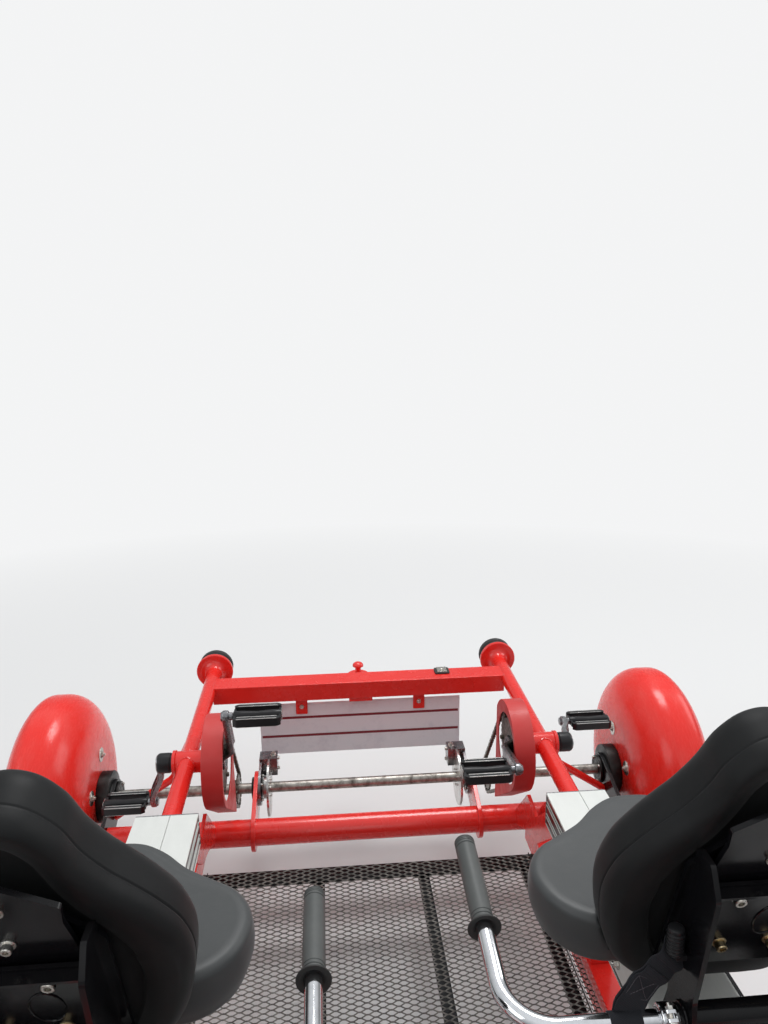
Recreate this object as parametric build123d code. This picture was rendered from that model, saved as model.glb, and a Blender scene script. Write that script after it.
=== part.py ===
# Pedal rail bike: four recumbent seats in two rows on a red tube frame with four flanged rail wheels.
# Millimetres. +X right, +Y forward, +Z up. Z = 0 is the floor under the wheel flanges.
import os
from math import acos, atan2, cos, hypot, pi, radians, sin

from build123d import *

# Wheels and axles
GAUGE = 1435
WHEELBASE = 2240
TREAD_R = 190
FLANGE_DEPTH = 25
FLANGE_T = 28
TREAD_W = 62
RIM_T = 22
WEB_T = 18
HUB_R = 45
HUB_OUT = 36
AXLE_R = 12.5
AXLE_STUB = 16
FLANGE_PLAY = 6.5
FIT = 0.08

# Wheel covers
COVER_R = 248
COVER_INSIDE = 43
COVER_EDGE_X = 89
COVER_EDGE_R = 130
COVER_CROWN = 24
COVER_DOME = 62
COVER_WALL = 4
COVER_CUT_Z = 118
COVER_HOLE_R = 47
COVER_HUB_R = 60

# Brakes
DISC_R = 68
DISC_FROM_PLATE = 30
DISC_T = 5
DISC_HUB_L = 14
PAD_GAP = 1
CALIPER_ANGLE = 35
CALIPER_SIZE = (38, 46, 44)
CALIPER_ARM_T = 6

# Frame
PEDAL_TO_COVER = 46
TUBE_R = 18
TUBE_Z = 425
CROSS_R = 30
CROSS_Y = 1000
CROSS_Z_FRONT = 175
CROSS_Z_REAR = 150
LONGERON_OFFSET = 20
LONGERON_W = 50
LONGERON_H = 60
LONGERON_BOTTOM = 115
POST_W = 40
POST_INSET = 110
BRACE_T = 8
BRACE_HALF = 30
BRACE_HORN = (108, 130)
BRACE_NOTCH = (176, 120)
BRACE_THROAT = (193, 68)
BRACE_HEEL = (127, 48)
BRACE_REACH = 40
BAR_DEPTH = 60
BAR_H = 45
BAR_Y = 1250
BUFFER_FROM_BEAM = 90
BUFFER_R = 50
BUFFER_L = 42
BUFFER_PLATE_T = 10
PLATE_T = 10
PLATE_FROM_SIDE = 120
PLATE_FROM_FLANGE = 77
BEARING_R = 34
BEARING_L = 24
STRUT_R = 9
STRUT_BEND = 40
STRUT_START = (10, 1060, 415)
STRUT_KNEE = (70, 1070, 285)
STRUT_END = (215, 1080, 185)

# Seat beams
BEAM_W = 114
BEAM_H = 65
BEAM_TOP = 450
BEAM_FRONT_Y = 680
BEAM_LENGTH = 720
BEAM_WALL = 4

# Deck
DECK_TOP = 155
DECK_T = 5
DECK_SIDE_GAP = 2
DECK_SEAM = 3
DECK_RIB = 10
DECK_CELLS = (12, 12)
STRIP_RIB = 4
STRIP_CELLS = (1, 12)
STEP_CELLS = (4, 12)
DECK_STRIP_W = 16
DECK_FRONT_Y = 896
DECK_BAR_W = 40
DECK_BAR_T = 9
DECK_BARS = 5
RUNNER_W = 25
RUNNER_T = 8
RUNNER_SPREAD = 115
RUNNER_INSET = 14
STEP_W = 208
STEP_HALF_L = 560
STEP_RAIL = 20

# Sign and coupling
SIGN_HALF_W = 262
SIGN_BOTTOM = 230
SIGN_TOP = 372
SIGN_T = 3
TAB_X = 153
TAB_W = 30
TAB_T = 4
TAB_DROP = 50
DRAWBAR_W = 60
DRAWBAR_T = 10
COUPLING_Y = 1365
COUPLING_PIN_R = 8
COUPLING_PLAY = 0.3
COUPLING_HEAD_R = 15
COUPLING_HEAD_H = 12
COUPLING_PIN_TOP = 428
COUPLING_PIN_BOTTOM = 335

# Cranks, chains and pedals
BB_Y = 902
BB_Z = 425
ROW_PITCH = 1270
BOSS_R = 23
BOSS_IN = 63
BOSS_OUT = 31
SPINDLE_R = 8.5
CRANK_L = 167
CRANK_TIP_X = 91
CRANK_T = 13
CRANK_W = 24
CRANK_HUB_R = 21
CRANK_OUT = (51, 20, 150)
CRANK_INWARD = (68, 22, 52)
CRANK_GAP = 4
CHAIN_OFFSET = 73
RING_R = 80
RING_T = 3
SPROCKET_R = 36
SPROCKET_T = 6
CHAIN_W = 8
CHAIN_H = 9
CHAIN_PLAY = 0.3
GUARD_R = 98
GUARD_TAPER_R = 58
GUARD_REACH = 83
GUARD_IN = 42
GUARD_OUT = 85
GUARD_T = 3
GUARD_WINDOW_R = 76
GUARD_WINDOW_BACK = 12
PEDAL_IN = 112
PEDAL_W = 97
PEDAL_D = 65
PEDAL_H = 26
PEDAL_WALL = 5
PEDAL_BARREL_R = 12
PEDAL_PIN_R = 4.5

# Seats, with y and z from the seat's own station
PAN_TOP = 600
PAN_T = 70
BACK_Y = 180
BACK_Z = 605
BACK_SLOPE = 0.33
BACK_T = 76
BACK_LOW = 520
BACK_TOP = 915
PAN_REAR = (92, 178)
PAN_HAUNCH = (167, 198)
PAN_WIDEST = (201, 262)
PAN_HIP = (188, 322)
PAN_WAIST = (151, 352)
PAN_NECK = (105, 380)
PAN_TIP = (70, 415)
PAN_NOSE_Y = 445
BACK_FOOT_HALF = 88
BACK_HIP = (142, 0)
BACK_WIDEST = (155, 90)
BACK_SHOULDER = (127, 169)
BACK_NECK = (86, 220)
BACK_THROAT = (66, 253)
BACK_CROWN_HALF = 52
BACK_CROWN_DROP = 35
CARRIAGE_Y = (110, 330)
CARRIAGE_WALL = 7
CARRIAGE_SIDE_H = 42
CARRIAGE_PLAY = 0.4
RISER_T = 8
RISER_X = 48
PAN_PLATE_T = 6
BACK_PLATE_T = 6
BACK_PLATE_HALF = 82
BACK_PLATE_SHOULDER = 165
BACK_PLATE_CREST = (14, 236)
PAN_PLATE_HALF = 120
PAN_PLATE_END = 360
FLANK_X = 70
FLANK_T = 6
FLANK_TOP = (50, 775)
FLANK_SHOULDER = (34, 742)
FLANK_WAIST = (62, 590)
FLANK_HIP = (54, 535)
FLANK_HEEL = (85, 515)
FLANK_FOOT = (112, 150)
FLANK_THROAT = (119, 556)
FLANK_LINK = 640
WEB_TOP = 760
WEB_LOW = 600
WEB_INSET = 14
HANDLE_X = 276
HANDLE_R = 11.1
HANDLE_BEND = 61
HANDLE_BAR_Y = 80
HANDLE_BAR_Z = 554
HANDLE_TIP_Y = 358
HANDLE_TIP_Z = 591
GRIP_R = 14.8
GRIP_L = 146
GRIP_END = 4
GRIP_FLANGE_R = 22
GRIP_FLANGE_T = 8
SLEEVE_R = 15.5
SLEEVE_HALF = 84

# Brake lever
LEVER_Y = -560
LEVER_Z = 205
LEVER_L = 330
LEVER_LEAN = 15
LEVER_T = 12
LEVER_W = 26
LEVER_PIN_R = 6
LEVER_CHEEK_T = 6
LEVER_GAP = 3
LEVER_GRIP_R = 15
LEVER_GRIP_L = 110

AXLE_Z = TREAD_R + FLANGE_DEPTH
AXLE_Y = WHEELBASE / 2
FLANGE_X = GAUGE / 2 - FLANGE_PLAY - FLANGE_T
TREAD_X = FLANGE_X + FLANGE_T
WHEEL_OUT = TREAD_X + TREAD_W
AXLE_END = TREAD_X + HUB_OUT + AXLE_STUB
PLATE_OUT_X = FLANGE_X - PLATE_FROM_FLANGE
CROSS_END = PLATE_OUT_X - PLATE_T / 2
COVER_IN = FLANGE_X - COVER_INSIDE
SIDE_X = COVER_IN - PEDAL_TO_COVER - PEDAL_IN - PEDAL_W
LONGERON_X = SIDE_X + LONGERON_OFFSET
PLATE_IN_X = SIDE_X - PLATE_FROM_SIDE
COVER_TOP = FLANGE_X - COVER_INSIDE + COVER_EDGE_X + COVER_CROWN
COVER_OUT = WHEEL_OUT + COVER_DOME
DISC_X = PLATE_IN_X - DISC_FROM_PLATE
BEAM_BOTTOM = BEAM_TOP - BEAM_H
BEAM_TAIL = BEAM_FRONT_Y - ROW_PITCH - BEAM_LENGTH
BUFFER_FACE = BUFFER_FROM_BEAM - BEAM_TAIL
LONGERON_TOP = LONGERON_BOTTOM + LONGERON_H
LONGERON_IN = LONGERON_X - LONGERON_W / 2
LONGERON_OUT = LONGERON_X + LONGERON_W / 2
DECK_OUT = LONGERON_IN - DECK_SIDE_GAP
STEP_IN_X = LONGERON_OUT + DECK_SIDE_GAP
STEP_OUT_X = STEP_IN_X + STEP_W
DECK_HALF_W = DECK_OUT - DECK_STRIP_W - DECK_SEAM
BAR_BOTTOM = TUBE_Z - 10 - BAR_H / 2
BAR_TOP = BAR_BOTTOM + BAR_H
RISER_BASE = BEAM_TOP + CARRIAGE_PLAY + CARRIAGE_WALL
PAN_BOTTOM = PAN_TOP - PAN_T
BACK_LEAN = atan2(BACK_SLOPE, 1)

SIDES = {"left": -1, "right": 1}

# end: direction, cross tube height, bottom bracket y, seat beam front y
ENDS = {
    "front": (1, CROSS_Z_FRONT, BB_Y, BEAM_FRONT_Y),
    "rear": (-1, CROSS_Z_REAR, BB_Y - ROW_PITCH, BEAM_FRONT_Y - ROW_PITCH),
}

# station: seat slid back by, handles turned down by, crank angle above horizontal
STATIONS = {
    ("front", "left"): (45, 7.5, -60),
    ("front", "right"): (0, 0, -14),
    ("rear", "left"): (0, 0, 35),
    ("rear", "right"): (0, 0, -100),
}


def block(x, y, z):
    """A box between two limits on each axis."""
    size = (x[1] - x[0], y[1] - y[0], z[1] - z[0])
    middle = ((x[0] + x[1]) / 2, (y[0] + y[1]) / 2, (z[0] + z[1]) / 2)
    return Pos(*middle) * Box(*size)


def rod(start, end, radius):
    """A round bar between two points."""
    axis = Vector(*end) - Vector(*start)
    plane = Plane(origin=start, z_dir=axis)
    return extrude(plane * Circle(radius), axis.length)


def x_rod(x0, x1, y, z, radius):
    """A round bar along X."""
    return rod((x0, y, z), (x1, y, z), radius)


def mirrored(shape, side):
    """The shape as it is on the right, or mirrored to the left."""
    return shape if side > 0 else mirror(shape, Plane.YZ)


def turned(shape, direction):
    """The shape as it is at the front, or mirrored to the rear."""
    return shape if direction > 0 else mirror(shape, Plane.XZ)


def both_sides(shape):
    """The shape on the right and its mirror image on the left."""
    return [shape, mirror(shape, Plane.YZ)]


def loop_face(y1, z1, r1, y2, z2, r2):
    """The outline around two circles and their outer tangents, in the YZ plane."""
    way = atan2(z2 - z1, y2 - y1)
    spread = acos((r1 - r2) / hypot(y2 - y1, z2 - z1))

    def on(cy, cz, r, angle):
        return (cy + r * cos(angle), cz + r * sin(angle))

    a1, a2 = on(y1, z1, r1, way + spread), on(y1, z1, r1, way - spread)
    b1, b2 = on(y2, z2, r2, way + spread), on(y2, z2, r2, way - spread)
    edges = [
        ThreePointArc(a1, on(y1, z1, r1, way + pi), a2),
        Line(a2, b2),
        ThreePointArc(b2, on(y2, z2, r2, way), b1),
        Line(b1, a1),
    ]
    return make_face(edges)


def side_prism(face, x0, x1):
    """A face drawn as (y, z), extruded along X between two limits."""
    return extrude(Plane.YZ.offset(x0) * face, x1 - x0)


def turned_profile(points):
    """A closed (x, radius) outline revolved about the X axis."""
    return revolve(make_face(Polyline(*points, close=True)), Axis.X)


def save(name, *shapes):
    """Write one node as a STEP file."""
    solids = [solid for shape in shapes for solid in shape.solids()]
    export_step(Compound(label=name, children=solids), f"parts/{name}.step")


def cross_tubes():
    """The two thick cross tubes that carry the axles' plates."""
    return [
        x_rod(-CROSS_END, CROSS_END, way * CROSS_Y, cross_z, CROSS_R)
        for way, cross_z, _, _ in ENDS.values()
    ]


def longerons():
    """The two long box members under the seats, cut to the cross tubes."""
    bar = block(
        (LONGERON_IN, LONGERON_OUT), (-CROSS_Y, CROSS_Y), (LONGERON_BOTTOM, LONGERON_TOP)
    )
    for tube in cross_tubes():
        bar -= tube
    longest = max(bar.solids(), key=lambda solid: solid.volume)
    return both_sides(longest)


def side_frame():
    """The right side's tubes, crank bosses and buffer plates."""
    beam_end = BEAM_FRONT_Y - BEAM_LENGTH
    rear_beam_end = beam_end - ROW_PITCH
    plate_y = BUFFER_FACE - BUFFER_L - BUFFER_PLATE_T
    front = rod((SIDE_X, BEAM_FRONT_Y, TUBE_Z), (SIDE_X, plate_y, TUBE_Z), TUBE_R)
    middle = rod((SIDE_X, BEAM_FRONT_Y - ROW_PITCH, TUBE_Z), (SIDE_X, beam_end, TUBE_Z), TUBE_R)
    tail = rod((SIDE_X, -plate_y, TUBE_Z), (SIDE_X, rear_beam_end, TUBE_Z), TUBE_R)
    for way, tube_index in ((1, 0), (-1, 2)):
        plate = rod(
            (SIDE_X, way * plate_y, TUBE_Z),
            (SIDE_X, way * (plate_y + BUFFER_PLATE_T), TUBE_Z),
            BUFFER_R,
        )
        if tube_index == 0:
            front += plate
        else:
            tail += plate
    pieces = []
    for tube, bb_y in ((front, BB_Y), (middle, BB_Y - ROW_PITCH)):
        tube += x_rod(SIDE_X - BOSS_IN, SIDE_X + BOSS_OUT, bb_y, BB_Z, BOSS_R)
        tube -= x_rod(SIDE_X - BOSS_IN - 1, SIDE_X + BOSS_OUT + 1, bb_y, BB_Z, SPINDLE_R + FIT)
        pieces.append(tube)
    return pieces + [tail]


def seat_beams():
    """The aluminium beams that the seats slide on, hollow."""
    beams = []
    for _, _, _, beam_y in ENDS.values():
        span_y = (beam_y - BEAM_LENGTH, beam_y)
        outer = block((SIDE_X - BEAM_W / 2, SIDE_X + BEAM_W / 2), span_y, (BEAM_BOTTOM, BEAM_TOP))
        inner = block(
            (SIDE_X - BEAM_W / 2 + BEAM_WALL, SIDE_X + BEAM_W / 2 - BEAM_WALL),
            (span_y[0] + BEAM_WALL, span_y[1] - BEAM_WALL),
            (BEAM_BOTTOM + BEAM_WALL, BEAM_TOP - BEAM_WALL),
        )
        beams += both_sides(outer - inner)
    return beams


def crossbars():
    """The upper bars across the front and rear, with the sign's tabs and the drawbars."""
    bars = []
    for name, (way, _, _, _) in ENDS.items():
        reach = SIDE_X if name == "front" else SIDE_X - BEAM_W / 2
        bar = block((-reach, reach), (BAR_Y - BAR_DEPTH / 2, BAR_Y + BAR_DEPTH / 2), (BAR_BOTTOM, BAR_TOP))
        bar += block(
            (-DRAWBAR_W / 2, DRAWBAR_W / 2),
            (BAR_Y - BAR_DEPTH / 2, COUPLING_Y + DRAWBAR_W / 2),
            (BAR_BOTTOM - DRAWBAR_T, BAR_BOTTOM),
        )
        hole_r = COUPLING_PIN_R + COUPLING_PLAY
        bar -= rod((0, COUPLING_Y, BAR_BOTTOM - 2 * DRAWBAR_T), (0, COUPLING_Y, BAR_TOP), hole_r)
        if name == "front":
            for side in SIDES.values():
                bar -= rod((side * SIDE_X, 0, TUBE_Z), (side * SIDE_X, BUFFER_FACE, TUBE_Z), TUBE_R)
                bar += block(
                    (side * TAB_X - TAB_W / 2, side * TAB_X + TAB_W / 2),
                    (BAR_Y - SIGN_T / 2 - TAB_T, BAR_Y - SIGN_T / 2),
                    (BAR_BOTTOM - TAB_DROP, BAR_BOTTOM),
                )
            bar = max(bar.solids(), key=lambda solid: solid.volume)
        bars.append(turned(bar, way))
    return bars


def posts():
    """The upright posts under the seat beams and the slanted brackets at the beams' ends."""
    pieces = []
    for name, (_, _, _, beam_y) in ENDS.items():
        spots = [beam_y - POST_INSET]
        if name == "front":
            spots.append(beam_y - BEAM_LENGTH + POST_INSET)
        for y in spots:
            post = block(
                (LONGERON_X - POST_W / 2, LONGERON_X + POST_W / 2),
                (y - POST_W / 2, y + POST_W / 2),
                (LONGERON_TOP, BEAM_BOTTOM),
            )
            pieces += both_sides(post)
    return pieces


def braces():
    """The notched brackets from the cross tubes to the seat beams, two plates and a web each."""
    pieces = []
    for name, (way, cross_z, _, beam_y) in ENDS.items():
        if name == "front":
            horn, notch, throat, heel = (
                (CROSS_Y - back, cross_z + up)
                for back, up in (BRACE_HORN, BRACE_NOTCH, BRACE_THROAT, BRACE_HEEL)
            )
            crest = (beam_y + BRACE_REACH, BEAM_BOTTOM)
            under = (beam_y - BRACE_REACH, BEAM_BOTTOM)
            foot = ((CROSS_Y, cross_z - CROSS_R / 3), (CROSS_Y, cross_z + CROSS_R / 2))
            outline = Polyline(*foot, horn, notch, crest, under, throat, heel, close=True)
        else:
            sides = (way * CROSS_Y - BRACE_REACH, way * CROSS_Y + BRACE_REACH)
            notch, crest = (sides[1], cross_z), (sides[1], BEAM_BOTTOM)
            outline = Polyline(
                (sides[0], cross_z), notch, crest, (sides[0], BEAM_BOTTOM), close=True
            )
        plate = make_face(outline)
        bracket = side_prism(plate, SIDE_X - BRACE_HALF - BRACE_T / 2, SIDE_X - BRACE_HALF + BRACE_T / 2)
        bracket += side_prism(plate, SIDE_X + BRACE_HALF - BRACE_T / 2, SIDE_X + BRACE_HALF + BRACE_T / 2)
        web = Vector(*crest) - Vector(*notch)
        inward = Vector(-web.Y, web.X).normalized() * BRACE_T
        corners = (notch, crest, (crest[0] + inward.X, crest[1] + inward.Y))
        low = (notch[0] + inward.X, notch[1] + inward.Y)
        strip = make_face(Polyline(*corners, low, close=True))
        bracket += side_prism(strip, SIDE_X - BRACE_HALF, SIDE_X + BRACE_HALF)
        bracket -= x_rod(0, CROSS_END, way * CROSS_Y, cross_z, CROSS_R)
        bracket -= block(
            (LONGERON_IN, LONGERON_OUT), (-CROSS_Y, CROSS_Y), (0, LONGERON_TOP)
        )
        bracket -= block((0, SIDE_X + BEAM_W), (-BUFFER_FACE, BUFFER_FACE), (BEAM_BOTTOM, BEAM_TOP))
        pieces += both_sides(max(bracket.solids(), key=lambda piece: piece.volume))
    return pieces


def bearing_plates():
    """The plates between cross tubes and axles, inner and outer, on both axles."""
    pieces = []
    for way, cross_z, _, _ in ENDS.values():
        for x in (PLATE_IN_X, PLATE_OUT_X):
            x0, x1 = x - PLATE_T / 2, x + PLATE_T / 2
            face = loop_face(CROSS_Y, cross_z, CROSS_R + 12, AXLE_Y, AXLE_Z, BEARING_R + 6)
            plate = side_prism(face, x0, x1)
            plate -= x_rod(x0 - 1, x1 + 1, AXLE_Y, AXLE_Z, BEARING_R - 8)
            if x == PLATE_IN_X:
                plate -= x_rod(x0 - 1, x1 + 1, CROSS_Y, cross_z, CROSS_R)
            pieces += both_sides(turned(plate, way))
    return pieces


def axle_bearings():
    """The round bearings that the axles turn in, the outer ones with a hub for the cover."""
    pieces = []
    for way in (1, -1):
        for x in (PLATE_IN_X, PLATE_OUT_X):
            x0, x1 = x - BEARING_L / 2, x + BEARING_L / 2
            ring = x_rod(x0, x1, AXLE_Y, AXLE_Z, BEARING_R - 8)
            ring += x_rod(x0, x - PLATE_T / 2, AXLE_Y, AXLE_Z, BEARING_R)
            if x == PLATE_OUT_X:
                ring += x_rod(x + PLATE_T / 2, COVER_IN, AXLE_Y, AXLE_Z, COVER_HUB_R)
                ring -= x_rod(x1, COVER_IN + 1, AXLE_Y, AXLE_Z, BEARING_R - 8)
            ring -= x_rod(x0 - 1, COVER_IN + 1, AXLE_Y, AXLE_Z, AXLE_R + FIT)
            pieces += both_sides(turned(ring, way))
    return pieces


def grating(x, y, cells, rib):
    """A floor sheet between two limits each way, with a grid of openings between its ribs."""
    wide, long = x[1] - x[0], y[1] - y[0]
    pitch_x = (wide - rib) / cells[0]
    pitch_y = (long - rib) / cells[1]
    openings = GridLocations(pitch_x, pitch_y, *cells) * Rectangle(pitch_x - rib, pitch_y - rib)
    face = Pos((x[0] + x[1]) / 2, (y[0] + y[1]) / 2, DECK_TOP - DECK_T) * (Rectangle(wide, long) - openings)
    return extrude(face, DECK_T)


def deck():
    """The floor sheet between the longerons, with a narrow strip beside it on each side."""
    span = (-DECK_FRONT_Y, DECK_FRONT_Y)
    sheet = grating((-DECK_HALF_W, DECK_HALF_W), span, DECK_CELLS, DECK_RIB)
    strip = grating((DECK_HALF_W + DECK_SEAM, DECK_OUT), span, STRIP_CELLS, STRIP_RIB)
    return [sheet] + both_sides(strip)


def deck_bars():
    """The flat bars across the frame that carry the floor sheet."""
    top = DECK_TOP - DECK_T
    reach = DECK_FRONT_Y - DECK_BAR_W / 2
    pieces = []
    for index in range(DECK_BARS):
        y = reach * (2 * index / (DECK_BARS - 1) - 1)
        pieces.append(
            block(
                (-LONGERON_IN, LONGERON_IN),
                (y - DECK_BAR_W / 2, y + DECK_BAR_W / 2),
                (top - DECK_BAR_T, top),
            )
        )
    return pieces


def deck_runners():
    """The flat bars along the frame, under the ones across."""
    top = DECK_TOP - DECK_T - DECK_BAR_T
    edge = DECK_HALF_W - RUNNER_INSET
    span = (-DECK_FRONT_Y, DECK_FRONT_Y)
    return [
        block((x - RUNNER_W / 2, x + RUNNER_W / 2), span, (top - RUNNER_T, top))
        for x in (-edge, -RUNNER_SPREAD, RUNNER_SPREAD, edge)
    ]


def side_steps():
    """The narrow side floors outside the longerons, with their edge rails."""
    span = (-STEP_HALF_L, STEP_HALF_L)
    inner = STEP_OUT_X - STEP_RAIL
    step = grating((STEP_IN_X, inner), span, STEP_CELLS, DECK_RIB)
    step += block((inner, STEP_OUT_X), span, (DECK_TOP - DECK_T - STEP_RAIL, DECK_TOP))
    for y in (-STEP_HALF_L + STEP_RAIL / 2, 0, STEP_HALF_L - STEP_RAIL / 2):
        step += block(
            (LONGERON_OUT, inner),
            (y - STEP_RAIL / 2, y + STEP_RAIL / 2),
            (DECK_TOP - DECK_T - STEP_RAIL, DECK_TOP - DECK_T),
        )
    return both_sides(step)


def cover_profile(inset):
    """The wheel cover's outline as (x, radius), inset by its wall."""
    inner = COVER_IN + inset
    top = COVER_R - inset
    round_x, round_r = COVER_IN + COVER_EDGE_X, COVER_R - COVER_EDGE_R
    dome = COVER_OUT - COVER_TOP - inset
    return make_face(
        [
            Line((inner, 0), (inner, round_r)),
            EllipticalCenterArc(
                (round_x, round_r),
                COVER_EDGE_X - inset,
                COVER_EDGE_R - inset,
                start_angle=90,
                arc_size=90,
            ),
            Line((round_x, top), (COVER_TOP, top)),
            EllipticalCenterArc((COVER_TOP, 0), dome, top, start_angle=0, arc_size=90),
            Line((COVER_TOP + dome, 0), (inner, 0)),
        ]
    )


def wheel_cover():
    """One right front cover: a hollow dome open below, with a hole for the hub."""
    shell = revolve(cover_profile(0), Axis.X) - revolve(cover_profile(COVER_WALL), Axis.X)
    shell -= x_rod(COVER_IN - 1, COVER_IN + COVER_WALL + 1, 0, 0, COVER_HOLE_R)
    shell = Pos(0, AXLE_Y, AXLE_Z) * shell
    reach = COVER_R + COVER_WALL
    low = block(
        (COVER_IN - COVER_WALL, COVER_OUT + COVER_WALL),
        (AXLE_Y - reach, AXLE_Y + reach),
        (AXLE_Z - reach, COVER_CUT_Z),
    )
    return shell - low


def rail_wheel():
    """One right flanged wheel about the X axis."""
    lip = 6
    rim_r = TREAD_R - RIM_T
    web = (TREAD_X - 4, TREAD_X - 4 + WEB_T)
    points = [
        (FLANGE_X + lip, AXLE_R),
        (FLANGE_X + lip, HUB_R),
        (web[0], HUB_R),
        (web[0], rim_r),
        (FLANGE_X, rim_r),
        (FLANGE_X, TREAD_R + FLANGE_DEPTH - lip),
        (FLANGE_X + lip, TREAD_R + FLANGE_DEPTH),
        (FLANGE_X + 2 * lip, TREAD_R + FLANGE_DEPTH),
        (TREAD_X, TREAD_R),
        (WHEEL_OUT, TREAD_R - 3),
        (WHEEL_OUT, rim_r),
        (web[1], rim_r),
        (web[1], HUB_R),
        (web[1] + HUB_OUT / 2, HUB_R),
        (web[1] + HUB_OUT / 2, AXLE_R),
    ]
    return turned_profile(points)


def crank_arm(side, angle, root_x, bend, straight):
    """One arm that leaves its hub at the root and bends out to the pedal between two reaches."""
    end = (CRANK_L * cos(radians(angle)), CRANK_L * sin(radians(angle)))
    far = CRANK_L + CRANK_W
    inner = [(-far, root_x), (bend, root_x), (straight, CRANK_TIP_X), (far, CRANK_TIP_X)]
    outer = [(reach, x + CRANK_T) for reach, x in reversed(inner)]
    bar = extrude(
        make_face(Polyline(*[(side * x, reach) for reach, x in inner + outer], close=True)),
        CRANK_HUB_R,
        both=True,
    )
    x0, x1 = sorted((side * root_x, side * (CRANK_TIP_X + CRANK_T)))
    reach_face = loop_face(0, 0, CRANK_HUB_R, *end, CRANK_W / 2)
    arm = side_prism(reach_face, x0, x1) & (Rot(angle, 0, 0) * bar)
    pin = sorted((side * (CRANK_TIP_X + CRANK_T), side * (PEDAL_IN + PEDAL_W)))
    return arm + x_rod(*pin, *end, PEDAL_PIN_R)


def crank(angle):
    """One crank set about the X axis at x = 0, outer arm at the angle, with its chainring inboard."""
    body = x_rod(-CRANK_INWARD[0], CRANK_OUT[0], 0, 0, SPINDLE_R)
    body += x_rod(BOSS_OUT + CRANK_GAP, CRANK_OUT[0] + CRANK_T, 0, 0, CRANK_HUB_R)
    body += x_rod(-CRANK_INWARD[0] - CRANK_T, -BOSS_IN - CRANK_GAP, 0, 0, CRANK_HUB_R)
    body += crank_arm(1, angle, *CRANK_OUT)
    body += crank_arm(-1, angle + 180, *CRANK_INWARD)
    ring = x_rod(-CHAIN_OFFSET - RING_T / 2, -CHAIN_OFFSET + RING_T / 2, 0, 0, RING_R)
    for step in range(5):
        turn = radians(angle + 36 + 72 * step)
        ring -= x_rod(-CHAIN_OFFSET - 9, -CHAIN_OFFSET + 9, 52 * cos(turn), 52 * sin(turn), 20)
    return body + ring


def pedal():
    """One pedal about the X axis, from x = 0 outwards."""
    cage = block((0, PEDAL_W), (-PEDAL_D / 2, PEDAL_D / 2), (-PEDAL_H / 2, PEDAL_H / 2))
    gap = (PEDAL_BARREL_R + 1, PEDAL_D / 2 - PEDAL_WALL)
    for side in (1, -1):
        window = sorted((side * gap[0], side * gap[1]))
        cage -= block((PEDAL_WALL, PEDAL_W - PEDAL_WALL), window, (-PEDAL_H, PEDAL_H))
    cage += x_rod(0, PEDAL_W, 0, 0, PEDAL_BARREL_R)
    return cage - x_rod(-1, PEDAL_W + 1, 0, 0, PEDAL_PIN_R + FIT)


def chain(direction, bb_y):
    """One right chain: a closed loop around the chainring and the axle sprocket."""
    x = SIDE_X - CHAIN_OFFSET
    ends = (bb_y, BB_Z), (direction * AXLE_Y, AXLE_Z)
    radii = (RING_R + CHAIN_PLAY, SPROCKET_R + CHAIN_PLAY)
    inner = loop_face(*ends[0], radii[0], *ends[1], radii[1])
    outer = loop_face(*ends[0], radii[0] + CHAIN_H, *ends[1], radii[1] + CHAIN_H)
    solid = side_prism(outer, x - CHAIN_W / 2, x + CHAIN_W / 2)
    return solid - side_prism(inner, x - CHAIN_W / 2 - 1, x + CHAIN_W / 2 + 1)


def chain_guard(direction, bb_y):
    """One right guard: a band around the chainring between two side plates, open towards the axle."""
    wide, narrow = SIDE_X - GUARD_OUT, SIDE_X - GUARD_IN
    axle_spot = (direction * AXLE_Y, AXLE_Z)
    outer = loop_face(bb_y, BB_Z, GUARD_R, *axle_spot, GUARD_TAPER_R)
    inner = loop_face(bb_y, BB_Z, GUARD_R - GUARD_T, *axle_spot, GUARD_TAPER_R - GUARD_T)
    guard = side_prism(outer, wide, narrow)
    guard -= side_prism(inner, wide + GUARD_T, narrow - GUARD_T)
    window_y = bb_y - direction * GUARD_WINDOW_BACK
    guard -= x_rod(wide - 1, wide + GUARD_T + 1, window_y, BB_Z, GUARD_WINDOW_R)
    guard -= x_rod(narrow - GUARD_T - 1, narrow + 1, bb_y, BB_Z, BOSS_R)
    ahead = sorted((bb_y + direction * GUARD_REACH, direction * BUFFER_FACE))
    return guard - block((wide - 1, narrow + 1), ahead, (0, BB_Z + 2 * GUARD_R))


def pan(station_y):
    """One right seat pan: wide behind, drawn in to a round nose."""
    right = [PAN_REAR, PAN_HAUNCH, PAN_WIDEST, PAN_HIP, PAN_WAIST, PAN_NECK, PAN_TIP]
    left = [(-x, y) for x, y in right]
    outline = [Line(left[0], right[0])]
    for points in (right, left):
        outline += [ThreePointArc(*points[i : i + 3]) for i in (0, 2, 4)]
    outline.append(ThreePointArc(right[-1], (0, PAN_NOSE_Y), left[-1]))
    solid = extrude(Plane.XY.offset(PAN_BOTTOM) * make_face(outline), PAN_T)
    solid -= back_body(BACK_T + 1)
    solid = max(solid.solids(), key=lambda piece: piece.volume)
    return Pos(SIDE_X, station_y, 0) * solid


def back_plane():
    """The seat back's middle plane, with its local y up the slope and its z to the rear."""
    return Plane(
        origin=(0, BACK_Y, BACK_Z), x_dir=(1, 0, 0), z_dir=(0, -cos(BACK_LEAN), -sin(BACK_LEAN))
    )


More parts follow.
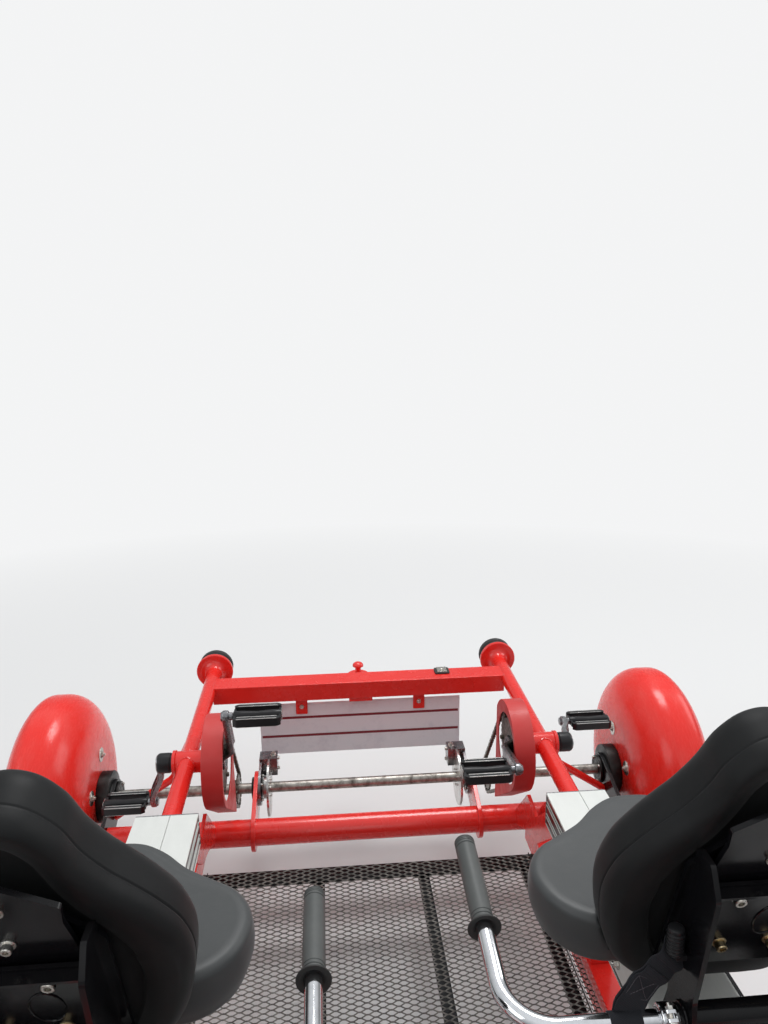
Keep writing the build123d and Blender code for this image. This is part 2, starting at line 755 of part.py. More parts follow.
def back_body(thickness):
    """The seat back's egg outline in its leaning plane, with a thickness."""
    scale = 1 / cos(BACK_LEAN)
    low, high = (BACK_LOW - BACK_Z) * scale, (BACK_TOP - BACK_Z) * scale
    right = [
        (BACK_FOOT_HALF, low),
        BACK_HIP,
        BACK_WIDEST,
        BACK_SHOULDER,
        BACK_NECK,
        BACK_THROAT,
        (BACK_CROWN_HALF, high - BACK_CROWN_DROP),
    ]
    left = [(-x, y) for x, y in right]
    outline = [Line(left[0], right[0])]
    for points in (right, left):
        outline += [ThreePointArc(*points[i : i + 3]) for i in (0, 2, 4)]
    outline.append(ThreePointArc(right[-1], (0, high), left[-1]))
    face = back_plane().offset(-thickness / 2) * make_face(outline)
    return extrude(face, thickness)


def back_spot(z, offset):
    """The (y, z) at a height on the plane that lies an offset behind the seat back's middle."""
    return (BACK_Y - BACK_SLOPE * (z - BACK_Z) - offset / cos(BACK_LEAN), z)


def seat_back(station_y):
    """One right seat back pad."""
    return Pos(SIDE_X, station_y, 0) * back_body(BACK_T)


def seat_bracket(station_y):
    """The steel carriage that slides on the beam and carries the pan, back and handles."""
    half = BEAM_W / 2 + CARRIAGE_PLAY
    outer = half + CARRIAGE_WALL
    skirt = (BEAM_TOP - CARRIAGE_SIDE_H, BEAM_TOP + CARRIAGE_PLAY)
    steel = block((-outer, outer), CARRIAGE_Y, (skirt[1], RISER_BASE))
    steel += block((half, outer), CARRIAGE_Y, skirt)
    steel += block((-outer, -half), CARRIAGE_Y, skirt)
    pan_plate = (PAN_BOTTOM - PAN_PLATE_T, PAN_BOTTOM)
    for x in (-RISER_X, RISER_X):
        steel += block((x - RISER_T / 2, x + RISER_T / 2), CARRIAGE_Y, (RISER_BASE, pan_plate[0]))
    steel += block((-PAN_PLATE_HALF, PAN_PLATE_HALF), (CARRIAGE_Y[0], PAN_PLATE_END), pan_plate)
    low = (pan_plate[0] - BACK_Z) / cos(BACK_LEAN)
    right = [(BACK_PLATE_HALF, low), (BACK_PLATE_HALF, BACK_PLATE_SHOULDER), BACK_PLATE_CREST]
    left = [(-x, y) for x, y in reversed(right)]
    face = back_plane().offset(BACK_T / 2) * make_face(Polyline(*right, *left, close=True))
    steel += extrude(face, BACK_PLATE_T)
    steel -= back_body(BACK_T)
    rear = BACK_T / 2 + BACK_PLATE_T / 2
    foot = (RISER_BASE, FLANK_FOOT)
    flank = make_face(
        Polyline(
            back_spot(FLANK_TOP[1], rear),
            FLANK_TOP,
            FLANK_SHOULDER,
            FLANK_WAIST,
            FLANK_HIP,
            FLANK_HEEL,
            (FLANK_FOOT[0], RISER_BASE),
            (FLANK_FOOT[1], RISER_BASE),
            FLANK_THROAT,
            back_spot(FLANK_LINK, rear),
            close=True,
        )
    )
    for x in (FLANK_X, -FLANK_X - FLANK_T):
        steel += side_prism(flank, x, x + FLANK_T)
    wide = FLANK_X + FLANK_T
    steel += block((-wide, wide), FLANK_FOOT, (foot[0], foot[0] + FLANK_T))
    steel += back_strip(FLANK_X + 1, WEB_LOW, WEB_TOP, BACK_T / 2 + WEB_INSET, BACK_PLATE_T)
    steel += x_rod(-SLEEVE_HALF, SLEEVE_HALF, HANDLE_BAR_Y, HANDLE_BAR_Z, SLEEVE_R)
    steel -= x_rod(-SLEEVE_HALF - 1, SLEEVE_HALF + 1, HANDLE_BAR_Y, HANDLE_BAR_Z, HANDLE_R)
    return Pos(SIDE_X, station_y, 0) * max(steel.solids(), key=lambda piece: piece.volume)


def back_strip(half, low_z, high_z, offset, thickness):
    """A plate parallel to the seat back between two heights, behind its middle plane."""
    low, high = (low_z - BACK_Z) / cos(BACK_LEAN), (high_z - BACK_Z) / cos(BACK_LEAN)
    face = Pos(0, (low + high) / 2) * Rectangle(2 * half, high - low)
    return extrude(back_plane().offset(offset) * face, thickness)


def handlebar(station_y, pitch):
    """The U-shaped handle tube behind the seat with a grip at each end, turned down by the pitch."""
    tip = Vector(HANDLE_X, HANDLE_TIP_Y, HANDLE_TIP_Z)
    corner = Vector(HANDLE_X, HANDLE_BAR_Y, HANDLE_BAR_Z)
    flip = Vector(-HANDLE_X, HANDLE_BAR_Y, HANDLE_BAR_Z)
    far = Vector(-HANDLE_X, HANDLE_TIP_Y, HANDLE_TIP_Z)
    path = FilletPolyline(far, flip, corner, tip, radius=HANDLE_BEND)
    along = (tip - corner).normalized()
    profile = Plane(origin=far, z_dir=(flip - far).normalized()) * Circle(HANDLE_R)
    bar = sweep(profile, path=path)
    for end in (tip, far):
        base = end - along * GRIP_L
        bar += rod(base, end + along * GRIP_END, GRIP_R)
        bar += rod(base, base + along * GRIP_FLANGE_T, GRIP_FLANGE_R)
    bar = bar.rotate(Axis((0, HANDLE_BAR_Y, HANDLE_BAR_Z), (1, 0, 0)), -pitch)
    return Pos(SIDE_X, station_y, 0) * bar


def calipers():
    """The brake calipers astride the discs, carried by the inner bearing plates."""
    deep, tall, length = CALIPER_SIZE
    pieces = []
    x1 = PLATE_IN_X - PLATE_T / 2
    x0 = x1 - length
    spot = (
        AXLE_Y + (DISC_R - 6) * cos(radians(CALIPER_ANGLE)),
        AXLE_Z + (DISC_R - 6) * sin(radians(CALIPER_ANGLE)),
    )
    for way in (1, -1):
        body = block(
            (x0, x1), (spot[0] - deep / 2, spot[0] + deep / 2), (spot[1] - tall / 2, spot[1] + tall / 2)
        )
        body += side_prism(
            loop_face(AXLE_Y, AXLE_Z, BEARING_R + 8, spot[0], spot[1], deep / 2), x1 - CALIPER_ARM_T, x1
        )
        body -= x_rod(x0, x1 + 1, AXLE_Y, AXLE_Z, BEARING_R + FIT)
        body -= x_rod(
            DISC_X - DISC_T / 2 - PAD_GAP, DISC_X + DISC_T / 2 + PAD_GAP, AXLE_Y, AXLE_Z, DISC_R + 5
        )
        body = max(body.solids(), key=lambda piece: piece.volume)
        pieces += both_sides(turned(body, way))
    return pieces


def struts():
    """The bent stays from the side frame out to the outer bearing plates."""
    pieces = []
    start, knee, end = (
        Vector(SIDE_X + x, y, z) for x, y, z in (STRUT_START, STRUT_KNEE, STRUT_END)
    )
    path = FilletPolyline(start, knee, end, radius=STRUT_BEND)
    stay = sweep(Plane(origin=start, z_dir=knee - start) * Circle(STRUT_R), path=path)
    stay -= block((PLATE_OUT_X - PLATE_T / 2, PLATE_OUT_X + 60), (0, BUFFER_FACE), (0, BEAM_TOP))
    tube = rod((SIDE_X, 0, TUBE_Z), (SIDE_X, BUFFER_FACE, TUBE_Z), TUBE_R)
    beam = block((0, SIDE_X + BEAM_W / 2), (0, BUFFER_FACE), (BEAM_BOTTOM, BEAM_TOP + BEAM_H))
    for way, neighbour in ((1, tube), (-1, beam)):
        cut = max((stay - neighbour).solids(), key=lambda piece: piece.volume)
        pieces += both_sides(turned(cut, way))
    return pieces


def lever_bracket():
    """The brake lever's pivot bracket on the floor."""
    half = LEVER_T / 2 + LEVER_GAP
    base = block(
        (-45, 45), (LEVER_Y - 50, LEVER_Y + 50), (DECK_TOP, DECK_TOP + LEVER_CHEEK_T)
    )
    for side in (1, -1):
        x = sorted((side * half, side * (half + LEVER_CHEEK_T)))
        cheek = loop_face(LEVER_Y, LEVER_Z, 22, LEVER_Y, DECK_TOP + 36, 34)
        plate = side_prism(cheek, *x) - block(
            (-50, 50), (LEVER_Y - 90, LEVER_Y + 90), (0, DECK_TOP + LEVER_CHEEK_T)
        )
        base += plate
    reach = half + LEVER_CHEEK_T
    return base - x_rod(-reach - 1, reach + 1, LEVER_Y, LEVER_Z, LEVER_PIN_R + FIT)


def brake_lever():
    """The hand lever with its pivot pin and grip."""
    lean = radians(LEVER_LEAN)
    up = (-sin(lean), cos(lean))
    tip = (LEVER_Y + LEVER_L * up[0], LEVER_Z + LEVER_L * up[1])
    bar = side_prism(
        loop_face(LEVER_Y, LEVER_Z, LEVER_W / 2 + 4, *tip, LEVER_W / 2), -LEVER_T / 2, LEVER_T / 2
    )
    reach = LEVER_T / 2 + LEVER_GAP + LEVER_CHEEK_T
    bar += x_rod(-reach, reach, LEVER_Y, LEVER_Z, LEVER_PIN_R)
    low = (tip[0] - LEVER_GRIP_L * up[0], tip[1] - LEVER_GRIP_L * up[1])
    return bar + rod((0, *low), (0, tip[0] + 20 * up[0], tip[1] + 20 * up[1]), LEVER_GRIP_R)


def buffers():
    """The rubber buffers on the side frames' ends."""
    pieces = []
    for way in (1, -1):
        pad = rod(
            (SIDE_X, way * (BUFFER_FACE - BUFFER_L), TUBE_Z), (SIDE_X, way * BUFFER_FACE, TUBE_Z), BUFFER_R
        )
        pieces += both_sides(pad)
    return pieces


def sign_plate():
    """The blank sign hung under the front bar."""
    return block(
        (-SIGN_HALF_W, SIGN_HALF_W), (BAR_Y - SIGN_T / 2, BAR_Y + SIGN_T / 2), (SIGN_BOTTOM, SIGN_TOP)
    )


def coupling_pins():
    """The mushroom pins in the drawbars."""
    pieces = []
    for way in (1, -1):
        y = way * COUPLING_Y
        pin = rod((0, y, COUPLING_PIN_BOTTOM), (0, y, COUPLING_PIN_TOP), COUPLING_PIN_R)
        head = rod((0, y, COUPLING_PIN_TOP - COUPLING_HEAD_H), (0, y, COUPLING_PIN_TOP), COUPLING_HEAD_R)
        pieces.append(pin + head)
    return pieces


def axle():
    """One axle shaft across the gauge, about the X axis."""
    return x_rod(-AXLE_END, AXLE_END, 0, 0, AXLE_R)


def axle_fittings():
    """The sprockets and brake discs on one axle, about the X axis."""
    ring = x_rod(DISC_X - DISC_T / 2, DISC_X + DISC_T / 2, 0, 0, DISC_R)
    ring += x_rod(DISC_X, DISC_X + DISC_HUB_L, 0, 0, AXLE_R + 14)
    sprocket_x = SIDE_X - CHAIN_OFFSET
    gear = x_rod(sprocket_x - SPROCKET_T / 2, sprocket_x + SPROCKET_T / 2, 0, 0, SPROCKET_R)
    gear += x_rod(sprocket_x, sprocket_x + 20, 0, 0, AXLE_R + 9)
    hole = x_rod(0, AXLE_END, 0, 0, AXLE_R)
    return both_sides(ring - hole) + both_sides(gear - hole)


def main():
    """Write every node's STEP file."""
    os.makedirs("parts", exist_ok=True)
    save("cross_tubes", *cross_tubes())
    save("longerons", *longerons())
    frame_pieces = side_frame()
    for side_name, side in SIDES.items():
        save(f"side_frame_{side_name}", *[mirrored(piece, side) for piece in frame_pieces])
    save("seat_beams", *seat_beams())
    save("crossbars", *crossbars())
    save("posts", *posts())
    save("braces", *braces(), *struts())
    save("bearing_plates", *bearing_plates())
    save("axle_bearings", *axle_bearings())
    save("deck", *deck())
    save("deck_bars", *deck_bars())
    save("deck_runners", *deck_runners())
    save("side_steps", *side_steps())
    save("buffers", *buffers())
    save("sign_plate", sign_plate())
    save("coupling_pins", *coupling_pins())
    save("brake_calipers", *calipers())
    save("lever_bracket", lever_bracket())
    save("brake_lever", brake_lever())
    cover = wheel_cover()
    for end_name, (way, _, bb_y, _) in ENDS.items():
        save(f"wheel_covers_{end_name}", *both_sides(turned(cover, way)))
        save(f"chains_{end_name}", *both_sides(chain(way, bb_y)))
        save(f"chain_guards_{end_name}", *both_sides(chain_guard(way, bb_y)))
        at_axle = Pos(0, way * AXLE_Y, AXLE_Z)
        save(f"axle_{end_name}", at_axle * axle())
        save(f"axle_fittings_{end_name}", *[at_axle * piece for piece in axle_fittings()])
        save(f"wheels_{end_name}", *[at_axle * piece for piece in both_sides(rail_wheel())])
    for (end_name, side_name), (slid_back, pitch, angle) in STATIONS.items():
        side = SIDES[side_name]
        bb_y = ENDS[end_name][2]
        station_y = bb_y - BB_Y
        place = Pos(SIDE_X, bb_y, BB_Z)
        tag = f"{end_name}_{side_name}"
        save(f"crank_{tag}", mirrored(place * crank(angle), side))
        for part, way in (("outer", 1), ("inner", -1)):
            end = (way * CRANK_L * cos(radians(angle)), way * CRANK_L * sin(radians(angle)))
            foot = pedal() if way > 0 else mirror(pedal(), Plane.YZ)
            spot = place * Pos(way * PEDAL_IN, *end)
            save(f"pedal_{tag}_{part}", mirrored(spot * foot, side))
        seat_y = station_y - slid_back
        save(f"seat_pan_{tag}", mirrored(pan(seat_y), side))
        save(f"seat_back_{tag}", mirrored(seat_back(seat_y), side))
        save(f"seat_bracket_{tag}", mirrored(seat_bracket(seat_y), side))
        save(f"handlebar_{tag}", mirrored(handlebar(seat_y, pitch), side))


main()
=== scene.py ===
"""Finishes and detailed pieces of a pedal rail bike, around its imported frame.

Metres. +X is right, +Y forward, +Z up, and the flange bottoms stand on z = 0.
"""

import logging
import math
from dataclasses import dataclass
from enum import Enum
from typing import Sequence

import bmesh
import bpy
import numpy as np
from mathutils import Matrix, Vector
from mathutils.geometry import delaunay_2d_cdt


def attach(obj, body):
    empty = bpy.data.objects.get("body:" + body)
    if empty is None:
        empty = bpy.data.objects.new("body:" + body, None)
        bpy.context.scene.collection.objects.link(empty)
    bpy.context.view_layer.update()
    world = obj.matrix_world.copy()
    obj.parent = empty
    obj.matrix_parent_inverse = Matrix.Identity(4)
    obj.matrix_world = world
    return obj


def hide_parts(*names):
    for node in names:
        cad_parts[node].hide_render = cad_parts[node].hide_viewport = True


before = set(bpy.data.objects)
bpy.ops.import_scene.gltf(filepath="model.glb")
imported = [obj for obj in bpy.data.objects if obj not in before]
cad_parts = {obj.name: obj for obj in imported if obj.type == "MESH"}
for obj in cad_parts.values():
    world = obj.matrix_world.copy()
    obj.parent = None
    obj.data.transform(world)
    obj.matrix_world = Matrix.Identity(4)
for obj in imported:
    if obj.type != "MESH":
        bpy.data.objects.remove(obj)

LOG = logging.getLogger("rail_bike")
Array = np.ndarray
Colour = tuple[float, float, float]
Spot = Sequence[float]
Points = Sequence[Sequence[float]]
Socket = bpy.types.NodeSocket
Material = bpy.types.Material
Object = bpy.types.Object
X, Y, Z = np.eye(3)

SIDE_X = 0.385
TUBE_Z = 0.425
AXLE_Y = 1.12
AXLE_Z = 0.215
ROW_PITCH = 1.27
BB_Y = 0.902


class Half(Enum):
    """Which half of the vehicle, as the sign of an axis."""

    @property
    def word(self) -> str:
        """Its name in node names."""
        return self.name.lower()


class Side(Half):
    """The two sides, as the sign of X."""

    LEFT = -1
    RIGHT = 1


class End(Half):
    """The two ends, as the sign of Y."""

    FRONT = 1
    REAR = -1

    @property
    def station_y(self) -> float:
        """How far forward the end's row of seats and cranks stands."""
        return 0.0 if self is End.FRONT else -ROW_PITCH


# Shapes


@dataclass
class Shape:
    """Vertices and faces gathered as arrays before they become one object."""

    verts: Array
    faces: list[Array]

    def placed(self, origin: Spot, u: Array = X, v: Array = Y, w: Array = Z) -> "Shape":
        """The shape with its x, y and z along the axes u, v and w from an origin."""
        return Shape(np.asarray(origin, float) + self.verts @ np.array([u, v, w], float), self.faces)

    def upright(self, x: float, y: float = 0.0) -> "Shape":
        """The shape with its x, y and z along Y, Z and X, from a point at z = 0."""
        return self.placed((x, y, 0), Y, Z, X)

    def mirrored(self, axis: int = 0) -> "Shape":
        """The shape reflected along one axis, with its faces turned back outwards."""
        sign = np.ones(3)
        sign[axis] = -1
        return Shape(self.verts * sign, [group[:, ::-1] for group in self.faces])

    def on_side(self, side: Side) -> "Shape":
        """The shape as it is on the right, or reflected to the left."""
        return self if side is Side.RIGHT else self.mirrored(0)

    def at_end(self, end: End) -> "Shape":
        """The shape as it is at the front, or reflected to the rear."""
        return self if end is End.FRONT else self.mirrored(1)

    def both_sides(self) -> "Shape":
        """The shape with its reflection on the left."""
        return gather([self.on_side(side) for side in Side])

    def everywhere(self) -> "Shape":
        """The shape on both sides at both ends."""
        return gather([self.on_side(side).at_end(end) for side in Side for end in End])

    def turned_x(self, degrees: float, centre: Spot = (0, 0, 0)) -> "Shape":
        """The shape turned about an X axis through a centre, +Y towards +Z."""
        c, s = math.cos(math.radians(degrees)), math.sin(math.radians(degrees))
        spin = np.array([[1, 0, 0], [0, c, s], [0, -s, c]])
        middle = np.asarray(centre, float)
        return Shape((self.verts - middle) @ spin + middle, self.faces)


def gather(shapes: Sequence[Shape]) -> Shape:
    """One shape of many."""
    starts = np.cumsum([0, *(len(shape.verts) for shape in shapes)])
    faces = [group + start for shape, start in zip(shapes, starts) for group in shape.faces]
    return Shape(np.vstack([shape.verts for shape in shapes]), faces)


def repeated(shape: Shape, origins: Array, u: Array, v: Array, w: Array) -> Shape:
    """Copies of a shape, one for each origin, whose x, y and z lie along that copy's u, v and w."""
    axes = np.stack(np.broadcast_arrays(u, v, w, origins)[:3], 1)
    verts = origins[:, None] + np.einsum("mi,nij->nmj", shape.verts, axes)
    start = (np.arange(len(origins)) * len(shape.verts))[:, None, None]
    faces = [(group[None] + start).reshape(-1, group.shape[1]) for group in shape.faces]
    return Shape(verts.reshape(-1, 3), faces)


def grid_faces(rows: int, cols: int, wrap_rows: bool = False, wrap_cols: bool = False) -> Array:
    """Quads between neighbouring points of a grid that is numbered row by row.

    Args:
        rows: points along the first parameter.
        cols: points along the second parameter.
        wrap_rows: whether the last row joins the first.
        wrap_cols: whether the last column joins the first.

    Returns:
        One row of four indices for each quad.
    """
    row, col = np.mgrid[: rows if wrap_rows else rows - 1, : cols if wrap_cols else cols - 1]
    next_row, next_col = (row + 1) % rows, (col + 1) % cols
    corners = [row * cols + col, row * cols + next_col, next_row * cols + next_col, next_row * cols + col]
    return np.stack(corners, -1).reshape(-1, 4)


def grid_shape(points: Array, wrap_rows: bool = False, wrap_cols: bool = False) -> Shape:
    """A surface from a grid of points with shape (rows, cols, 3)."""
    rows, cols = points.shape[:2]
    return Shape(points.reshape(-1, 3), [grid_faces(rows, cols, wrap_rows, wrap_cols)])


def capped(points: Array) -> Shape:
    """A surface of closed sections along a path, with a face over its first and last section."""
    shape = grid_shape(points, wrap_cols=True)
    count, last = points.shape[1], points.shape[0] * points.shape[1]
    shape.faces += [np.arange(count)[None, ::-1], np.arange(last - count, last)[None]]
    return shape


def lathe(profile: Points, segments: int = 72, closed: bool = False) -> Shape:
    """A profile of (x, radius) points turned about X.

    A point at angle t is (x, radius cos t, radius sin t).

    Args:
        profile: the (x, radius) points in order.
        segments: steps around the axis.
        closed: whether the last point joins the first, as on a ring.

    Returns:
        The turned surface; points at radius 0 merge into poles later.
    """
    x, radius = np.asarray(profile, float).T
    angle = np.arange(segments) * 2 * np.pi / segments
    points = np.empty((len(x), segments, 3))
    points[..., 0] = x[:, None]
    points[..., 1] = radius[:, None] * np.cos(angle)
    points[..., 2] = radius[:, None] * np.sin(angle)
    return grid_shape(points, wrap_rows=closed, wrap_cols=True)


def unit(vectors: Array) -> Array:
    """Vectors scaled to length one."""
    return vectors / np.linalg.norm(vectors, axis=-1, keepdims=True)


def circles(path: Array, along: Array, up: Array, reach: float | Array, segments: int) -> Array:
    """Circles across a path: path + reach (side cos t + over sin t).

    Side is along x up and over is side x along, where along is the path's direction.
    """
    side = unit(np.cross(along, up))
    over = np.cross(side, along)
    angle = np.arange(segments)[None, :, None] * 2 * np.pi / segments
    return path[:, None] + reach * (side[:, None] * np.cos(angle) + over[:, None] * np.sin(angle))


def tube(path: Array, radius: float, up: Array, segments: int = 32) -> Shape:
    """A round tube along a path that stays off the direction up, closed at both ends."""
    return capped(circles(path, unit(np.gradient(path, axis=0)), up, radius, segments))


def bent(points: Points, radius: float, steps: int = 14) -> Array:
    """A path of straight runs whose corners are rounded by arcs of one radius.

    Each arc leaves its run at radius tan(turn / 2) before the corner, and its points are
    centre + radius (cos of the angle along the outward normal + sin along the run).
    """
    corners = np.asarray(points, float)
    parts = [corners[:1]]
    for before, corner, after in zip(corners, corners[1:], corners[2:]):
        come, leave = unit(corner - before), unit(after - corner)
        turn = math.acos(float(np.clip(come @ leave, -1, 1)))
        start = corner - come * radius * math.tan(turn / 2)
        inward = unit(leave - come * (come @ leave))
        angle = np.linspace(0, turn, steps)[:, None]
        parts.append(start + radius * (come * np.sin(angle) + inward * (1 - np.cos(angle))))
    parts.append(corners[-1:])
    return np.vstack(parts)


def rod(start: Spot, end: Spot, radius: float, segments: int = 32) -> Shape:
    """A straight round bar."""
    path = np.linspace(start, end, 2)
    up = Z if abs(unit(path[1] - path[0])[2]) < 0.9 else X
    return tube(path, radius, up, segments)


def prism(outline: Array, depth: float) -> Shape:
    """An outline in (x, y), thick along z from 0 to a depth."""
    count = len(outline)
    flat = np.column_stack([outline, np.zeros(count)])
    ring = np.arange(count)
    walls = np.stack([ring, (ring + 1) % count, (ring + 1) % count + count, ring + count], -1)
    return Shape(np.vstack([flat, flat + [0, 0, depth]]), [ring[None, ::-1], ring[None] + count, walls])


def pierced(outline: Array, holes: Sequence[Array], depth: float) -> Shape:
    """A flat plate with holes through it.

    Args:
        outline: the outer loop in (x, y).
        holes: inner loops in (x, y).
        depth: the thickness along z, from 0.

    Returns:
        The closed plate.
    """
    loops = [outline, *holes]
    edges, start = [], 0
    for loop in loops:
        ring = np.arange(len(loop))
        edges.append(np.stack([ring, (ring + 1) % len(loop)], -1) + start)
        start += len(loop)
    flat = np.vstack(loops)
    pairs = np.vstack(edges)
    result = delaunay_2d_cdt([Vector(p) for p in flat.tolist()], pairs.tolist(), [], 2, 1e-7)
    spots = np.array([tuple(v) for v in result[0]])
    low = np.column_stack([spots, np.zeros(len(spots))])
    faces = np.array(result[2])
    walls = np.column_stack([pairs, pairs[:, ::-1] + len(spots)])
    return Shape(np.vstack([low, low + [0, 0, depth]]), [faces[:, ::-1], faces + len(spots), walls])


def rectangle(x: Spot, y: Spot, radius: float = 0.0, steps: int = 5) -> Array:
    """A rectangle between two limits each way, with rounded corners where a radius is given."""
    corners = np.array([(x[0], y[0]), (x[1], y[0]), (x[1], y[1]), (x[0], y[1])], float)
    return softened(corners, radius, closed=True, steps=steps) if radius else corners


def box(x: Spot, y: Spot, z: Spot) -> Shape:
    """A block between two limits on each axis, for plates and bars that get eased edges."""
    return prism(rectangle(x, y), z[1] - z[0]).placed((0, 0, z[0]))


def polar(radius: float, angle: float) -> tuple[float, float]:
    """A point at a radius and an angle."""
    return radius * math.cos(angle), radius * math.sin(angle)


def circle(radius: float, centre: Spot = (0, 0), count: int = 32) -> Array:
    """Points evenly around a circle in (x, y)."""
    angle = np.arange(count) * 2 * np.pi / count
    return np.stack([centre[0] + radius * np.cos(angle), centre[1] + radius * np.sin(angle)], -1)


def arc(centre: Spot, radius: float, start: float, end: float, count: int = 16) -> Array:
    """Points of an arc in (x, y) between two angles in radians."""
    angle = np.linspace(start, end, count)
    return np.stack([centre[0] + radius * np.cos(angle), centre[1] + radius * np.sin(angle)], -1)


def slot_loop(start: Spot, end: Spot, radius: float, count: int = 10) -> Array:
    """A long hole with round ends between two centres in (x, y)."""
    way = math.atan2(end[1] - start[1], end[0] - start[0])
    return np.vstack([arc(start, radius, way + np.pi / 2, way + 3 * np.pi / 2, count),
        arc(end, radius, way - np.pi / 2, way + np.pi / 2, count)])


def belt_loop(c1: Spot, r1: float, c2: Spot, r2: float, count: int = 32) -> Array:
    """The outline around two circles and their outer tangents, in (x, y)."""
    way = math.atan2(c2[1] - c1[1], c2[0] - c1[0])
    spread = math.acos((r1 - r2) / math.hypot(c2[0] - c1[0], c2[1] - c1[1]))
    big = arc(c1, r1, way + spread, way + 2 * np.pi - spread, count)
    small = arc(c2, r2, way - spread, way + spread, max(8, count // 2))
    return np.vstack([big, small])


def softened(points: Points, radius: float, closed: bool = False, steps: int = 5) -> Array:
    """An outline whose corners are rounded, in (x, y) or as an (x, radius) profile.

    Each corner q becomes (1 - t)^2 p + 2 t (1 - t) q + t^2 r, where p and r lie on its two sides,
    a radius away from it, or 0.45 of the side if that is less.

    Args:
        points: the corners in order.
        radius: how far from each corner the rounding starts.
        closed: whether the last corner joins the first.
        steps: points on each rounded corner.

    Returns:
        The rounded outline.
    """
    q = np.asarray(points, float)
    back, ahead = np.roll(q, 1, 0) - q, np.roll(q, -1, 0) - q
    p, r = (q + way * np.minimum(0.45, radius / np.linalg.norm(way, axis=1))[:, None]
        for way in (back, ahead))
    if not closed:
        p[0] = r[0] = q[0]
        p[-1] = r[-1] = q[-1]
    t = np.linspace(0, 1, steps)[None, :, None]
    curve = (1 - t) ** 2 * p[:, None] + 2 * t * (1 - t) * q[:, None] + t**2 * r[:, None]
    curve = curve.reshape(-1, 2)
    keep = np.linalg.norm(np.diff(curve, axis=0, prepend=curve[:1] - 1), axis=1) > 1e-7
    return curve[keep]


def ring(profile: Points, soft: float, segments: int, steps: int = 5) -> Shape:
    """A closed (x, radius) section with softened corners, turned about X."""
    return lathe(softened(profile, soft, True, steps), segments, True)


def run_of(points: Array) -> Array:
    """How far along a path each of its points lies."""
    return np.concatenate([[0], np.cumsum(np.linalg.norm(np.diff(points, axis=0), axis=1))])


def sampled(points: Array, at: Array, known: Array | None = None) -> Array:
    """A path's points at some measures, where its own have the known ones, or else their numbers."""
    measures = np.arange(len(points)) if known is None else known
    return np.stack([np.interp(at, measures, column) for column in points.T], -1)


def closed_curve(points: Points, count: int) -> Array:
    """A smooth closed curve through points, with samples spaced evenly along it.

    Each span is a Catmull-Rom cubic, half of (2b + (c - a)t + (2a - 5b + 4c - d)t2 + (3b - a - 3c + d)t3).
    """
    b = np.asarray(points, float)
    a, c, d = np.roll(b, 1, 0), np.roll(b, -1, 0), np.roll(b, -2, 0)
    t = np.linspace(0, 1, 40, endpoint=False)[None, :, None]
    a, b, c, d = (q[:, None] for q in (a, b, c, d))
    dense = (2 * b + (c - a) * t + (2 * a - 5 * b + 4 * c - d) * t**2 + (3 * b - a - 3 * c + d) * t**3) / 2
    dense = dense.reshape(-1, 2)
    loop = np.vstack([dense, dense[:1]])
    length = run_of(loop)
    return sampled(loop, np.linspace(0, length[-1], count, endpoint=False), length)


def loop_normals(loop: Array) -> Array:
    """Outward unit normals of a loop that runs anticlockwise in (x, y)."""
    way = np.roll(loop, -1, 0) - np.roll(loop, 1, 0)
    return unit(np.stack([way[:, 1], -way[:, 0]], -1))


# Objects

# The record's slot of each finish whose name differs from its own
SLOTS = {"dull_red": "red_paint", "aluminium": "beam_aluminium", "bolt_steel": "dark_steel",
    "brass_plate": "dark_steel", "chain_steel": "dark_steel", "strand": "deck_mesh", "foam_dark": "foam",
    "grip_rubber": "rubber", "webbing": "black_plastic", "thread": "black_plastic"}


def mesh_of(name: str, shape: Shape) -> bpy.types.Mesh:
    """A mesh of a shape."""
    mesh = bpy.data.meshes.new(name)
    mesh.from_pydata(shape.verts.tolist(), [], [row for group in shape.faces for row in group.tolist()])
    return mesh


def in_scene(name: str, data: bpy.types.ID) -> Object:
    """A new object in the scene."""
    obj = bpy.data.objects.new(name, data)
    bpy.context.scene.collection.objects.link(obj)
    return obj


def tidy_mesh(mesh: bpy.types.Mesh, smooth_angle: float, flatten: bool = False) -> None:
    """Merge doubles, turn the faces outwards and shade all but sharp edges smooth.

    Args:
        mesh: the mesh to change.
        smooth_angle: edges sharper than this many degrees stay sharp.
        flatten: whether coplanar triangles are joined, on a copied CAD mesh.
    """
    work = bmesh.new()
    work.from_mesh(mesh)
    bmesh.ops.remove_doubles(work, verts=work.verts, dist=1e-6)
    if flatten:
        bmesh.ops.dissolve_limit(work, angle_limit=math.radians(0.4), verts=work.verts, edges=work.edges)
    bmesh.ops.recalc_face_normals(work, faces=work.faces)
    work.to_mesh(mesh)
    work.free()
    mesh.shade_smooth()
    mesh.set_sharp_from_angle(angle=math.radians(smooth_angle))


def bevelled(obj: Object, width: float, angle: float = 32, segments: int = 2) -> None:
    """Round an object's sharp edges by a width with a Bevel modifier."""
    bevel = obj.modifiers.new("eased", "BEVEL")
    bevel.width = width
    bevel.segments = segments
    bevel.limit_method = "ANGLE"
    bevel.angle_limit = math.radians(angle)
    bevel.harden_normals = True
    bevel.miter_outer = "MITER_ARC"


